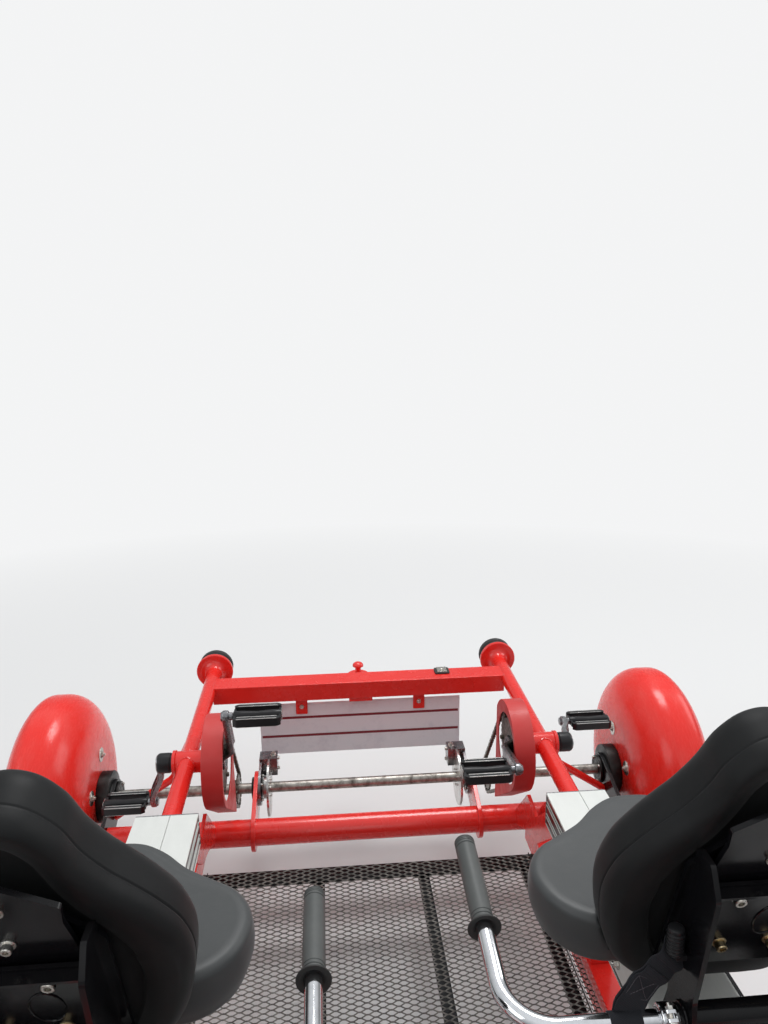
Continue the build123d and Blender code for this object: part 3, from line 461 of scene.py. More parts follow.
@dataclass
class Dresser:
    """Makes objects of shapes, gives them their finish and ties them to the frame."""

    finishes: dict[str, Material]
    count: int = 0

    def piece(self, name: str, shape: Shape, finish: str, node: str = "", body: str = "frame",
            slot: str = "", ease: float = 0.0, smooth: float = 35.0, tidy: bool = True) -> Object:
        """Make one piece.

        Args:
            name: the piece's name.
            shape: its surface, in place.
            finish: the finish's name.
            node: the CAD node that it stands for.
            body: the body it rides on.
            slot: the record's material slot, where it isn't the finish's own; it is not used.
            ease: width of the rounded edges, 0 for none.
            smooth: edges sharper than this many degrees stay sharp.
            tidy: whether doubles are merged and the faces turned outwards.

        Returns:
            The object.
        """
        mesh = mesh_of(name, shape)
        if tidy:
            tidy_mesh(mesh, smooth)
        obj = in_scene(name, mesh)
        if ease:
            bevelled(obj, ease)
        return self.dress(obj, finish, node, body, slot)

    def eased_copy(self, node: str, finish: str, ease: float = 0.0012, slot: str = "") -> Object:
        """A CAD node's copy with merged faces and rounded edges, which stands for the node."""
        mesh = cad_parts[node].data.copy()
        mesh.materials.clear()
        mesh.name = f"{node}.finished"
        tidy_mesh(mesh, 28, flatten=True)
        obj = in_scene(mesh.name, mesh)
        bevelled(obj, ease)
        return self.dress(obj, finish, node, "frame", slot)

    def dress(self, obj: Object, finish: str, node: str, body: str, slot: str) -> Object:
        """Give an object its material and body, and hide the node that it stands for."""
        obj.data.materials.clear()
        obj.data.materials.append(self.finishes[finish])
        slot = slot or SLOTS.get(finish, finish)
        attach(obj, body)
        if node:
            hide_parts(node)
        self.count += 1
        LOG.info("%s: %d faces on %s", obj.name, len(obj.data.polygons), body)
        return obj


# Finishes


class Recipe:
    """Builds the nodes of a material, or of the sky, around its shader."""

    def __init__(self, name: str, kind: str = "materials", shader: str = "Principled BSDF") -> None:
        """Start with Object coordinates."""
        self.owner = getattr(bpy.data, kind).new(name)
        self.owner.use_nodes = True
        self.tree = self.owner.node_tree
        self.shader = self.tree.nodes[shader]
        self.place = self.node("ShaderNodeTexCoord").outputs["Object"]

    def node(self, kind: str, inputs: dict | None = None, **settings: object) -> bpy.types.Node:
        """Add a node, with its inputs set or linked.

        Args:
            kind: the node's type name.
            inputs: values or output sockets by input name or number.
            settings: the node's own properties.

        Returns:
            The node.
        """
        node = self.tree.nodes.new(kind)
        for key, value in settings.items():
            setattr(node, key, value)
        for key, value in (inputs or {}).items():
            if isinstance(value, Socket):
                self.tree.links.new(value, node.inputs[key])
            else:
                node.inputs[key].default_value = value
        return node

    def stretched(self, scale: Spot) -> Socket:
        """The place scaled along each axis, for streaks."""
        return self.node("ShaderNodeMapping", {"Vector": self.place, "Scale": scale}).outputs[0]

    def noise(self, scale: float, detail: float = 3.0, rough: float = 0.55,
            place: Socket | None = None) -> Socket:
        """Noise from 0 to 1 about a half."""
        inputs = {"Vector": place or self.place, "Scale": scale, "Detail": detail, "Roughness": rough}
        return self.node("ShaderNodeTexNoise", inputs).outputs[0]

    def ramp(self, value: Socket, low: float, high: float, dark: Colour, light: Colour) -> Socket:
        """A colour that goes from dark to light as the value goes from low to high."""
        node = self.node("ShaderNodeValToRGB", {0: value})
        for stop, spot, colour in zip(node.color_ramp.elements, (low, high), (dark, light)):
            stop.position = spot
            stop.color = (*colour, 1)
        return node.outputs[0]

    def span(self, value: Socket, low: float, high: float, to_low: float, to_high: float) -> Socket:
        """The value mapped from one span to another and held at its ends."""
        inputs = {0: value, 1: low, 2: high, 3: to_low, 4: to_high}
        return self.node("ShaderNodeMapRange", inputs).outputs[0]

    def over(self, fac: Socket, under: Socket | Colour, top: Socket | Colour) -> Socket:
        """A colour laid over another where the factor is 1."""
        low, high = (value if isinstance(value, Socket) else (*value, 1) for value in (under, top))
        return self.node("ShaderNodeMix", {0: fac, 6: low, 7: high}, data_type="RGBA").outputs[2]

    def sum(self, operation: str, a: Socket | float, b: Socket | float) -> Socket:
        """One sum of two values."""
        return self.node("ShaderNodeMath", {0: a, 1: b}, operation=operation).outputs[0]

    def product(self, a: Socket, b: Socket | float) -> Socket:
        """Two values multiplied."""
        return self.sum("MULTIPLY", a, b)

    def upward(self, low: float, high: float) -> Socket:
        """1 where the surface faces up, 0 where it doesn't."""
        normal = self.node("ShaderNodeNewGeometry").outputs["Normal"]
        height = self.node("ShaderNodeSeparateXYZ", {0: normal}).outputs[2]
        return self.span(height, low, high, 0, 1)

    def bump(self, height: Socket, depth: float, strength: float = 1.0,
            under: Socket | None = None) -> Socket:
        """A bump of a depth in metres, on top of another one if given."""
        inputs = {"Height": height, "Distance": depth, "Strength": strength}
        if under is not None:
            inputs["Normal"] = under
        return self.node("ShaderNodeBump", inputs).outputs[0]

    def shade(self, **sockets: object) -> Material:
        """Set or link the shader's sockets, named with underscores, and return the material."""
        for key, value in sockets.items():
            socket = self.shader.inputs[key.replace("_", " ")]
            if isinstance(value, Socket):
                self.tree.links.new(value, socket)
            elif hasattr(value, "__len__"):
                socket.default_value = (*value, 1)
            else:
                socket.default_value = value
        return self.owner


@dataclass(frozen=True)
class Paint:
    """Glossy powder coat: a fine orange peel, a slight drift of colour, dust on top and small chips."""

    name: str
    colour: Colour
    deep: Colour
    roughness: float = 0.24
    coat: float = 0.5
    dust: float = 0.1
    specular: float = 0.5
    peel: float = 0.00004
    dust_colour: Colour = (0.42, 0.34, 0.27)

    def build(self) -> Material:
        """The material."""
        recipe = Recipe(self.name)
        base = recipe.ramp(recipe.noise(4.5, 2, 0.5), 0.32, 0.68, self.deep, self.colour)
        specks = recipe.span(recipe.noise(260, 2, 0.5), 0.72, 0.78, 0, 0.5)
        patches = recipe.span(recipe.noise(22, 5, 0.65), 0.42, 0.7, 0, self.dust)
        grime = recipe.over(recipe.product(patches, recipe.upward(0.2, 0.9)), base, self.dust_colour)
        colour = recipe.over(recipe.product(specks, self.dust), grime, self.dust_colour)
        rough = recipe.span(recipe.noise(30, 4, 0.6), 0.3, 0.7, self.roughness * 0.8, self.roughness * 1.5)
        peel = recipe.bump(recipe.noise(900, 1, 0.4), self.peel, 0.35)
        return recipe.shade(Base_Color=colour, Roughness=rough, Normal=peel, Coat_Weight=self.coat,
            Coat_Roughness=0.12, Specular_IOR_Level=self.specular)


@dataclass(frozen=True)
class WeatheredShell:
    """Faded moulded plastic: soft pale streaks that run down, browner dirt low down."""

    name: str
    colour: Colour
    faded: Colour
    dirt: Colour
    roughness: float = 0.33

    def build(self) -> Material:
        """The material."""
        recipe = Recipe(self.name)
        streak = recipe.noise(9, 4, 0.55, recipe.stretched((3.2, 1.1, 0.75)))
        fade = recipe.product(recipe.span(streak, 0.48, 0.76, 0, 0.26), recipe.upward(-0.35, 0.75))
        base = recipe.over(fade, self.colour, self.faded)
        spots = recipe.noise(42, 6, 0.7)
        height = recipe.node("ShaderNodeSeparateXYZ", {0: recipe.place}).outputs[2]
        low = recipe.span(height, 0.36, 0.14, 0, 0.55)
        colour = recipe.over(recipe.product(recipe.span(spots, 0.46, 0.66, 0, 1), low), base, self.dirt)
        scuffs = recipe.noise(60, 5, 0.6, recipe.stretched((4, 1, 0.8)))
        rough = recipe.span(scuffs, 0.35, 0.7, self.roughness * 0.75, self.roughness * 1.7)
        fine = recipe.bump(scuffs, 0.00008, 0.4, recipe.bump(recipe.noise(14, 2, 0.4), 0.0006, 0.25))
        return recipe.shade(Base_Color=colour, Roughness=rough, Normal=fine, Coat_Weight=0.12,
            Coat_Roughness=0.16, Specular_IOR_Level=0.35)


@dataclass(frozen=True)
class Metal:
    """Bare or plated metal: streaks along one axis, clouds of tarnish and fine scratches."""

    name: str
    colour: Colour
    tarnish: Colour
    roughness: float = 0.3
    streak: tuple[float, float, float] = (1, 1, 1)
    grain: float = 180
    depth: float = 0.00003
    cloud: float = 16
    spread: tuple[float, float] = (0.4, 0.72)
    metallic: float = 1.0

    def build(self) -> Material:
        """The material."""
        recipe = Recipe(self.name)
        lines = recipe.noise(self.grain, 3, 0.6, recipe.stretched(self.streak))
        clouds = recipe.noise(self.cloud, 5, 0.65)
        colour = recipe.ramp(clouds, *self.spread, self.colour, self.tarnish)
        mixed = recipe.sum("ADD", recipe.product(lines, 0.5), recipe.product(clouds, 0.5))
        rough = recipe.span(mixed, 0.3, 0.7, self.roughness * 0.6, self.roughness * 1.6)
        fine = recipe.bump(lines, self.depth, 0.5)
        return recipe.shade(Base_Color=colour, Metallic=self.metallic, Roughness=rough, Normal=fine)


@dataclass(frozen=True)
class Grained:
    """Moulded rubber, foam skin or plastic: a fine pebble grain, rubbed paler patches and dust."""

    name: str
    colour: Colour
    rubbed: Colour
    roughness: float = 0.6
    grain: float = 900
    depth: float = 0.00012
    sheen: float = 0.0
    specular: float = 0.5
    dust: float = 0.06

    def build(self) -> Material:
        """The material."""
        recipe = Recipe(self.name)
        patches = recipe.noise(7, 5, 0.62)
        base = recipe.ramp(patches, 0.3, 0.75, self.colour, self.rubbed)
        dust = recipe.span(recipe.noise(55, 6, 0.7), 0.45, 0.8, 0, self.dust)
        colour = recipe.over(recipe.product(dust, recipe.upward(0, 0.9)), base, (0.34, 0.32, 0.29))
        inputs = {"Vector": recipe.place, "Scale": self.grain}
        cells = recipe.node("ShaderNodeTexVoronoi", inputs, feature="SMOOTH_F1").outputs[0]
        rough = recipe.span(patches, 0.3, 0.7, self.roughness * 0.88, self.roughness * 1.12)
        fine = recipe.bump(cells, self.depth, 0.6, recipe.bump(recipe.noise(24, 3, 0.5), 0.0005, 0.12))
        return recipe.shade(Base_Color=colour, Roughness=rough, Normal=fine, Sheen_Weight=self.sheen,
            Sheen_Roughness=0.4, Specular_IOR_Level=self.specular)


@dataclass(frozen=True)
class Webbing:
    """Woven strap: ribs across the strap and dark gaps, with a soft sheen."""

    name: str
    colour: Colour
    light: Colour
    pitch: float = 0.0016

    def build(self) -> Material:
        """The material."""
        recipe = Recipe(self.name)
        inputs = {"Vector": recipe.place, "Scale": 0.31 / self.pitch, "Distortion": 0.4, "Detail": 1.0}
        ways = ("X", "DIAGONAL")
        waves = [recipe.node("ShaderNodeTexWave", inputs, bands_direction=way).outputs[1] for way in ways]
        weave = recipe.product(*waves)
        ribs = recipe.ramp(weave, 0.1, 0.8, self.colour, self.light)
        worn = recipe.over(recipe.noise(18, 4), ribs, self.light)
        fine = recipe.bump(weave, 0.0003, 0.7)
        return recipe.shade(Base_Color=worn, Roughness=0.72, Normal=fine, Sheen_Weight=0.04,
            Specular_IOR_Level=0.2)


@dataclass(frozen=True)
class StripedSign:
    """White painted plate with two red stripes along its lower part, and a little grime."""

    name: str
    white: Colour
    stripe: Colour
    low: tuple[float, float] = (0.277, 0.284)
    high: tuple[float, float] = (0.3285, 0.3355)
    reach: float = 0.258

    def build(self) -> Material:
        """The material."""
        recipe = Recipe(self.name)
        spot = recipe.node("ShaderNodeSeparateXYZ", {0: recipe.place})
        height = spot.outputs[2]
        inside = recipe.sum("LESS_THAN", recipe.sum("ABSOLUTE", spot.outputs[0], 0), self.reach)
        bands = [recipe.product(recipe.sum("GREATER_THAN", height, low),
            recipe.sum("LESS_THAN", height, high)) for low, high in (self.low, self.high)]
        mask = recipe.product(recipe.sum("ADD", *bands), inside)
        soil = recipe.ramp(recipe.noise(26, 6, 0.7), 0.5, 0.9, self.white, (0.58, 0.57, 0.62))
        rough = recipe.span(recipe.noise(40, 4), 0.3, 0.7, 0.28, 0.45)
        fine = recipe.bump(recipe.noise(700, 1), 0.00003, 0.3)
        return recipe.shade(Base_Color=recipe.over(mask, soil, self.stripe), Roughness=rough, Normal=fine)


def all_finishes() -> dict[str, Material]:
    """Every finish of the vehicle, built once."""
    kinds = [
        Paint("red_paint", (0.8, 0.023, 0.016), (0.75, 0.019, 0.013), 0.22, dust=0.015, specular=0.4),
        Paint("dull_red", (0.58, 0.034, 0.031), (0.5, 0.026, 0.024), 0.42, 0.1, 0.04),
        Paint("black_paint", (0.006, 0.006, 0.007), (0.004, 0.004, 0.005), 0.16, 0.08, 0.008, 0.2),
        WeatheredShell("cover_red", (0.8, 0.026, 0.018), (0.8, 0.15, 0.13), (0.24, 0.04, 0.02), 0.22),
        Metal("aluminium", (0.71, 0.72, 0.69), (0.67, 0.68, 0.65), 0.45, (1, 0.05, 1), 320, metallic=0.3),
        Metal("dark_steel", (0.055, 0.053, 0.052), (0.022, 0.02, 0.019), 0.36, spread=(0.35, 0.65)),
        Metal("axle_steel", (0.46, 0.44, 0.4), (0.1, 0.088, 0.078), 0.42, (0.2, 1, 1), 90, cloud=55),
        Metal("wheel_steel", (0.36, 0.33, 0.3), (0.12, 0.085, 0.062), 0.5, cloud=14),
        Metal("tread_steel", (0.62, 0.61, 0.59), (0.4, 0.38, 0.36), 0.25, (0.15, 1, 1), 260),
        Metal("crank_alloy", (0.32, 0.32, 0.33), (0.17, 0.17, 0.18), 0.26, cloud=30),
        Metal("bolt_steel", (0.72, 0.7, 0.66), (0.44, 0.4, 0.33), 0.27, cloud=90),
        Metal("brass_plate", (0.62, 0.5, 0.3), (0.38, 0.29, 0.17), 0.3, cloud=90),
        Metal("chrome", (0.8, 0.81, 0.83), (0.66, 0.67, 0.69), 0.09, depth=0.00001, cloud=40),
        Metal("chain_steel", (0.2, 0.18, 0.15), (0.07, 0.06, 0.05), 0.34, cloud=120),
        Metal("strand", (0.24, 0.225, 0.205), (0.09, 0.085, 0.078), 0.48, cloud=60, metallic=0.55),
        Grained("foam", (0.042, 0.045, 0.046), (0.052, 0.056, 0.057), 0.5, 1300, 0.00006, 0.15, dust=0.03),
        # The seat back's foam: the pan's foam made much darker, which paints the shade the back lies in.
        Grained("foam_dark", (0.007, 0.0075, 0.008), (0.01, 0.0105, 0.011), 0.55, 1300, 0.00006, 0.05, 0.2,
            0.01),
        Grained("rubber", (0.018, 0.018, 0.018), (0.034, 0.034, 0.033), 0.7, 700, 0.0001),
        Grained("grip_rubber", (0.058, 0.063, 0.061), (0.088, 0.094, 0.091), 0.52, 1600, 0.00008),
        Grained("black_plastic", (0.01, 0.01, 0.011), (0.02, 0.02, 0.022), 0.33, 1500, 0.00004, 0.0, 0.3,
            0.02),
        Webbing("webbing", (0.01, 0.01, 0.013), (0.024, 0.026, 0.031)),
        Grained("thread", (0.06, 0.052, 0.062), (0.1, 0.09, 0.1), 0.6, 2500, 0.00002),
        StripedSign("sign_white", (0.76, 0.75, 0.78), (0.2, 0.02, 0.03)),
    ]
    return {kind.name: kind.build() for kind in kinds}


# Fasteners and welds


class Head(Enum):
    """Kinds of screw head."""

    SOCKET = "socket"
    HEX = "hex"
    DOME = "dome"


def axes_along(way: Array) -> tuple[Array, Array, Array]:
    """Three unit axes whose first lies along a direction."""
    first = unit(np.asarray(way, float))
    side = unit(np.cross(first, Z if abs(first[2]) < 0.9 else Y))
    return first, side, np.cross(first, side)


def screw(head: Head, radius: float, spot: Spot, way: Array, washer: float = 0.0) -> Shape:
    """A screw head that stands on a surface, with a washer under it if one is given.

    A socket head is a turned cup with a deep middle, a dome is a quarter ellipse turned about
    the axis, and a hexagon is a prism with a turned stud end.

    Args:
        head: the kind of head.
        radius: the head's radius.
        spot: where it stands.
        way: the direction it points.
        washer: the washer's radius.

    Returns:
        The screw.
    """
    rise = 0.0016 if washer else 0.0
    disc = [(0, 0), (0, washer), (rise * 0.7, washer), (rise, washer * 0.94), (rise, 0)]
    parts = [lathe(disc, 40)] if washer else []
    if head is Head.SOCKET:
        tall = radius * 1.25
        cup = [(0, 0), (0, radius), (tall * 0.88, radius), (tall, radius * 0.88), (tall, radius * 0.52),
            (tall * 0.4, radius * 0.5), (tall * 0.4, 0)]
        parts.append(lathe([(x + rise, r) for x, r in cup], 24))
    elif head is Head.DOME:
        bend = np.linspace(0, np.pi / 2, 7)
        curve = np.column_stack([radius * 0.6 * np.sin(bend) + rise, radius * np.cos(bend)])
        parts.append(lathe([(0, 0), *curve.tolist()], 24))
    else:
        stud, thread = radius * 1.35, radius * 0.5
        tip = [(rise, 0), (rise, thread), (stud, thread), (stud + 0.001, radius * 0.4), (stud + 0.001, 0)]
        parts += [prism(circle(radius, count=6), radius * 0.8).upright(rise), lathe(tip, 16)]
    return gather(parts).placed(spot, *axes_along(way))


def bead(path: Array, radius: float, up: Array) -> Shape:
    """A weld bead around a closed path: a ring tube whose radius ripples with the passes."""
    along = unit(np.roll(path, -1, 0) - np.roll(path, 1, 0))
    reach = (radius * (1 + 0.16 * np.sin(np.arange(len(path)) * 1.7)))[:, None, None]
    return grid_shape(circles(path, along, up, reach, 8), wrap_rows=True, wrap_cols=True)


def on_tube(profile: Points, segments: int = 72) -> Shape:
    """A profile of (y, radius) points turned about the right side tube."""
    return lathe(profile, segments).placed((SIDE_X, 0, TUBE_Z), Y, X, Z)


def bar_profile(low: float, high: float, radius: float, soft: float) -> Array:
    """The (x, radius) profile of a round bar with softened ends."""
    return np.array([(low, 0), (low, radius - soft), (low + soft, radius), (high - soft, radius),
        (high, radius - soft), (high, 0)])


# The frame


@dataclass(frozen=True)
class FrameTubes:
    """The red side tubes with their bosses and buffer plates, and the two thick cross tubes."""

    tube_r: float = 0.018
    boss_r: float = 0.023
    boss_in: float = 0.063
    boss_out: float = 0.031
    plate_r: float = 0.048
    plate_y: float = 1.348
    plate_t: float = 0.01
    beam_front: float = 0.68
    beam_length: float = 0.72
    cross_r: float = 0.03
    cross_end: float = 0.601
    black_from: float = 0.5

    def run(self, start: float, end: float) -> Shape:
        """A plain side tube between two y values, with softened ends."""
        return on_tube(bar_profile(*sorted((start, end)), self.tube_r, 0.0015), 56)

    def plate(self) -> Shape:
        """The flared plate that carries the buffer: a quarter-circle flare, then a disc."""
        t = np.linspace(0, np.pi / 2, 10)
        flare, soft = 0.02, 0.002
        edge, back, end = self.plate_r, self.plate_y, self.plate_y + self.plate_t
        curve = np.column_stack([back - flare + flare * np.sin(t), self.tube_r + flare * (1 - np.cos(t))])
        rim = [(back, edge - soft), (back + soft, edge), (end - soft, edge), (end, edge - soft), (end, 0)]
        return on_tube([(back - flare, 0), *curve.tolist(), *rim])

    def boss(self, y: float) -> Shape:
        """The crank boss across the tube, with turned lips and weld beads where they meet."""
        start, end, r, bore, soft = -self.boss_in, self.boss_out, self.boss_r, 0.0095, 0.001
        lip = r + 0.0022
        profile = [(start, bore), (start, r - soft), (start + soft, lip), (start + 0.007, lip),
            (start + 0.009, r), (end - 0.009, r), (end - 0.007, lip), (end - soft, lip), (end, r - soft),
            (end, bore)]
        body = lathe(profile, 64, closed=True).placed((SIDE_X, y, TUBE_Z))
        t = np.linspace(0, 2 * np.pi, 72, endpoint=False)
        across, height = self.tube_r * np.cos(t), self.tube_r * np.sin(t)
        reach = np.sqrt(r**2 - height**2)
        paths = [np.column_stack([SIDE_X + across, y + way * reach, TUBE_Z + height]) for way in (1, -1)]
        return gather([body, *(bead(path, 0.0026, Y) for path in paths)])

    def build(self, dresser: Dresser) -> None:
        """Make the side frames and cross tubes."""
        beam_end = self.beam_front - self.beam_length
        front = gather([self.run(self.beam_front, self.plate_y), self.plate(), self.boss(BB_Y)])
        middle = gather([self.run(self.beam_front - ROW_PITCH, beam_end), self.boss(BB_Y - ROW_PITCH)])
        tail = gather([self.run(self.plate_y, ROW_PITCH - beam_end), self.plate()]).at_end(End.REAR)
        whole = gather([front, middle, tail])
        for side in Side:
            shape = whole.on_side(side)
            dresser.piece(f"side_tubes_{side.word}", shape, "red_paint", f"side_frame_{side.word}")
        turned = lathe(bar_profile(-self.cross_end, self.cross_end, self.cross_r, 0.002), 80)
        crosses = gather([turned.placed((0, y, z)) for y, z in ((1.0, 0.175), (-1.0, 0.15))])
        dresser.piece("cross_tubes_turned", crosses, "red_paint", "cross_tubes")
        for node in ("longerons", "posts", "braces"):
            dresser.eased_copy(node, "red_paint")
        plates = dresser.eased_copy("bearing_plates", "red_paint").data
        plates.materials.append(dresser.finishes["black_paint"])
        centres = np.empty(len(plates.polygons) * 3, np.float32)
        plates.polygons.foreach_get("center", centres)
        outer = np.abs(centres[::3]) > self.black_from
        plates.polygons.foreach_set("material_index", outer.astype(np.int32))


@dataclass(frozen=True)
class EndBars:
    """The upper bars across both ends with their drawbars, sign tabs, sign, clip and coupling pins."""

    y: float = 1.25
    depth: float = 0.06
    bottom: float = 0.3925
    top: float = 0.4375
    reach_front: float = 0.374
    reach_rear: float = 0.328
    coupling_y: float = 1.365
    tab_x: float = 0.153

    def bar(self, reach: float) -> Shape:
        """One bar and the drawbar under it, with its round end and pin hole."""
        span = (self.y - self.depth / 2, self.y + self.depth / 2)
        beam = box((-reach, reach), span, (self.bottom, self.top))
        half, thick, base = 0.03, 0.01, span[0] + 0.002
        nose = arc((0, self.coupling_y), half, 0, np.pi, 24)
        outline = np.vstack([[(half, base)], nose, [(-half, base)]])
        draw = pierced(outline, [circle(0.0083, (0, self.coupling_y), 28)], thick)
        return gather([beam, draw.placed((0, 0, self.bottom - thick))])

    def tab(self, x: float) -> Shape:
        """One strap that the sign hangs from, with its long hole."""
        hole = slot_loop((0, 0.017), (0, 0.027), 0.0032)
        plate = pierced(rectangle((-0.015, 0.015), (0, 0.051)), [hole], 0.004)
        return plate.placed((x, 1.2445, self.bottom - 0.05), X, Z, Y)

    def pin(self) -> Shape:
        """The coupling pin: a shank with a mushroom head, turned about Z."""
        bend = np.linspace(0, np.pi / 2, 8)
        head = np.column_stack([0.4185 + 0.0092 * np.sin(bend), 0.0148 * np.cos(bend)])
        profile = [(0.335, 0), (0.336, 0.0065), (0.339, 0.008), (0.412, 0.008), (0.414, 0.0095),
            (0.4162, 0.014), (0.4165, 0.0148), *head.tolist()]
        return lathe(profile, 40).placed((0, self.coupling_y, 0), Z, X, Y)

    def build(self, dresser: Dresser) -> None:
        """Make the bars, sign, clip and pins."""
        bars = gather([self.bar(self.reach_front), self.tab(self.tab_x), self.tab(-self.tab_x),
            self.bar(self.reach_rear).at_end(End.REAR)])
        dresser.piece("end_bars", bars, "red_paint", "crossbars", ease=0.003)
        plate = box((-0.262, 0.262), (self.y - 0.0015, self.y + 0.0015), (0.23, 0.372))
        dresser.piece("sign_board", plate, "sign_white", "sign_plate", ease=0.0006)
        spots = [(s * self.tab_x, 1.2444, self.bottom - 0.0285) for s in (-1, 1)]
        screws = gather([screw(Head.DOME, 0.0048, spot, -Y, 0.0062) for spot in spots])
        dresser.piece("sign_screws", screws, "bolt_steel")
        pins = gather([self.pin(), self.pin().at_end(End.REAR)])
        dresser.piece("coupling_pins_turned", pins, "red_paint", "coupling_pins")
        right = [(0.014, -0.017), (0.019, -0.012), (0.019, 0.012), (0.014, 0.017)]
        loop = closed_curve([*right[2:], *[(-x, y) for x, y in right[::-1]], *right[:2]], 48)
        base = prism(loop, 0.004).placed((0.2155, 1.2615, self.top - 0.0003))
        dresser.piece("bar_clip_base", base, "rubber", ease=0.001)
        plate = prism(rectangle((-0.0125, 0.0125), (-0.013, 0.015)), 0.0025)
        top = gather([plate, screw(Head.DOME, 0.0045, (0, 0, 0.0025), Z)])
        top = top.placed((0.2155, 1.2615, self.top + 0.0035))
        dresser.piece("bar_clip_plate", top, "bolt_steel", slot="beam_aluminium", ease=0.0005)


@dataclass(frozen=True)
class Buffers:
    """The rubber buffers: a turned pad with a waist groove and a softly domed face."""

    face: float = 1.4
    length: float = 0.042
    radius: float = 0.045

    def build(self, dresser: Dresser) -> None:
        """Make the four buffers."""
        face, back, r = self.face, self.face - self.length, self.radius
        bend = np.linspace(0, np.pi / 2, 8)
        edge = np.column_stack([face - 0.012 + 0.0095 * np.sin(bend), r - 0.01 + 0.01 * np.cos(bend)])
        profile = [(back, 0), (back, r - 0.004), (back + 0.003, r - 0.001), (back + 0.01, r - 0.0005),
            (back + 0.013, r - 0.004), (back + 0.016, r - 0.004), (back + 0.019, r - 0.0002), *edge.tolist(),
            (face - 0.001, r * 0.45), (face, 0)]
        dresser.piece("buffer_pads", on_tube(profile).everywhere(), "rubber", "buffers")


@dataclass(frozen=True)
class ExpandedMetal:
    """Raised expanded metal: zigzag strands in rows half a cell apart that touch at their knuckles.

    Strand k runs along X at y = k s / 2, plus s / 4 times +1 or -1 at each half pitch, turn and
    turn about, with a short flat at each knuckle. Its section is a tilted rectangle.
    """

    half_pitch: float = 0.014
    cell: float = 0.0123
    strand: float = 0.0025
    thick: float = 0.0014
    tilt: float = 42.0
    knuckle: float = 0.0024

    def panel(self, x: Spot, y: Spot, top: float, phase: int = 0) -> Shape:
        """A panel between two limits.

        Args:
            x: the limits across.
            y: the limits along.
            top: height of the strands' upper edges.
            phase: which way the first strand starts.

        Returns:
            The strands as closed ribbons.
        """
        step = self.cell / 2
        rows = int((y[1] - y[0] - self.cell / 2) / step)
        halves = int((x[1] - x[0]) / self.half_pitch) + 2
        spot = x[0] + (np.arange(halves) - 0.5) * self.half_pitch
        along = np.clip(np.column_stack([spot - self.knuckle, spot + self.knuckle]).ravel(), *x)
        keep = np.concatenate([[True], np.diff(along) > 1e-6])
        sign = np.repeat(np.where(np.arange(halves) % 2, 1, -1), 2)[keep]
        along = along[keep]
        middle = y[0] + self.cell / 4 + step * (np.arange(rows) + 0.5)
        turn = np.where((np.arange(rows) + phase) % 2, 1, -1)
        line = middle[:, None] + turn[:, None] * sign * self.cell / 4
        t = math.radians(self.tilt)
        wide = np.array([math.cos(t), math.sin(t)]) * self.strand / 2
        deep = np.array([-math.sin(t), math.cos(t)]) * self.thick / 2
        corners = np.array([wide + deep, wide - deep, -wide - deep, deep - wide])
        points = np.empty((rows, len(along), 4, 3))
        points[..., 0] = along[:, None]
        points[..., 1] = line[..., None] + corners[:, 0]
        points[..., 2] = top - corners[:, 1].max() + corners[:, 1]
        count = len(along) * 4
        start = np.arange(rows)[:, None, None] * count
        walls = grid_faces(len(along), 4, wrap_cols=True)[:, ::-1]
        ends = np.array([[0, 1, 2, 3], [count - 1, count - 2, count - 3, count - 4]])
        faces = np.vstack([walls, ends])[None] + start
        return Shape(points.reshape(-1, 3), [faces.reshape(-1, 4)])


@dataclass(frozen=True)
class Floor:
    """The floor between the longerons and the side steps, of expanded metal on flat bars."""

    top: float = 0.155
    half_w: float = 0.359
    seam: float = 0.003
    strip_w: float = 0.016
    front: float = 0.896
    step_in: float = 0.432
    step_out: float = 0.64
    step_half: float = 0.56
    rail: float = 0.02
    metal: ExpandedMetal = ExpandedMetal()

    def build(self, dresser: Dresser) -> None:
        """Make the floor panels, the edge strips, the steps and their rails."""
        top = self.top - 0.0006
        for end in End:
            y = sorted((0.0, end.value * self.front))
            sheet = self.metal.panel((-self.half_w, self.half_w), y, top, 0 if end is End.FRONT else 1)
            dresser.piece(f"floor_mesh_{end.word}", sheet, "strand", "deck", tidy=False)
        inner, long = self.half_w + self.seam, (-self.front, self.front)
        strip = ExpandedMetal(half_pitch=self.strip_w / 2).panel((inner, inner + self.strip_w), long, top)
        dresser.piece("floor_strips", strip.both_sides(), "chain_steel", "deck", slot="deck_mesh", tidy=False)
        edge_bar = box((self.half_w, self.half_w + 0.0014), long, (top - 0.004, top))
        dresser.piece("floor_edges", edge_bar.both_sides(), "rubber", slot="deck_mesh")
        for node in ("deck_bars", "deck_runners"):
            dresser.eased_copy(node, "black_paint")
        under = self.top - 0.005
        low = under - self.rail
        inside, half, long = self.step_out - self.rail, self.rail / 2, (-self.step_half, self.step_half)
        rails = [box((inside, self.step_out), long, (low, self.top))]
        for y in (half - self.step_half, 0.0, self.step_half - half):
            rails.append(box((0.43, inside - 0.0002), (y - half, y + half), (low, under)))
        for side in Side:
            mesh = self.metal.panel((self.step_in, inside), long, top).on_side(side)
            dresser.piece(f"step_mesh_{side.word}", mesh, "strand", "side_steps", tidy=False)
            bars = gather(rails).on_side(side)
            name = f"step_rails_{side.word}"
            dresser.piece(name, bars, "black_paint", "side_steps", slot="deck_mesh", ease=0.0015)


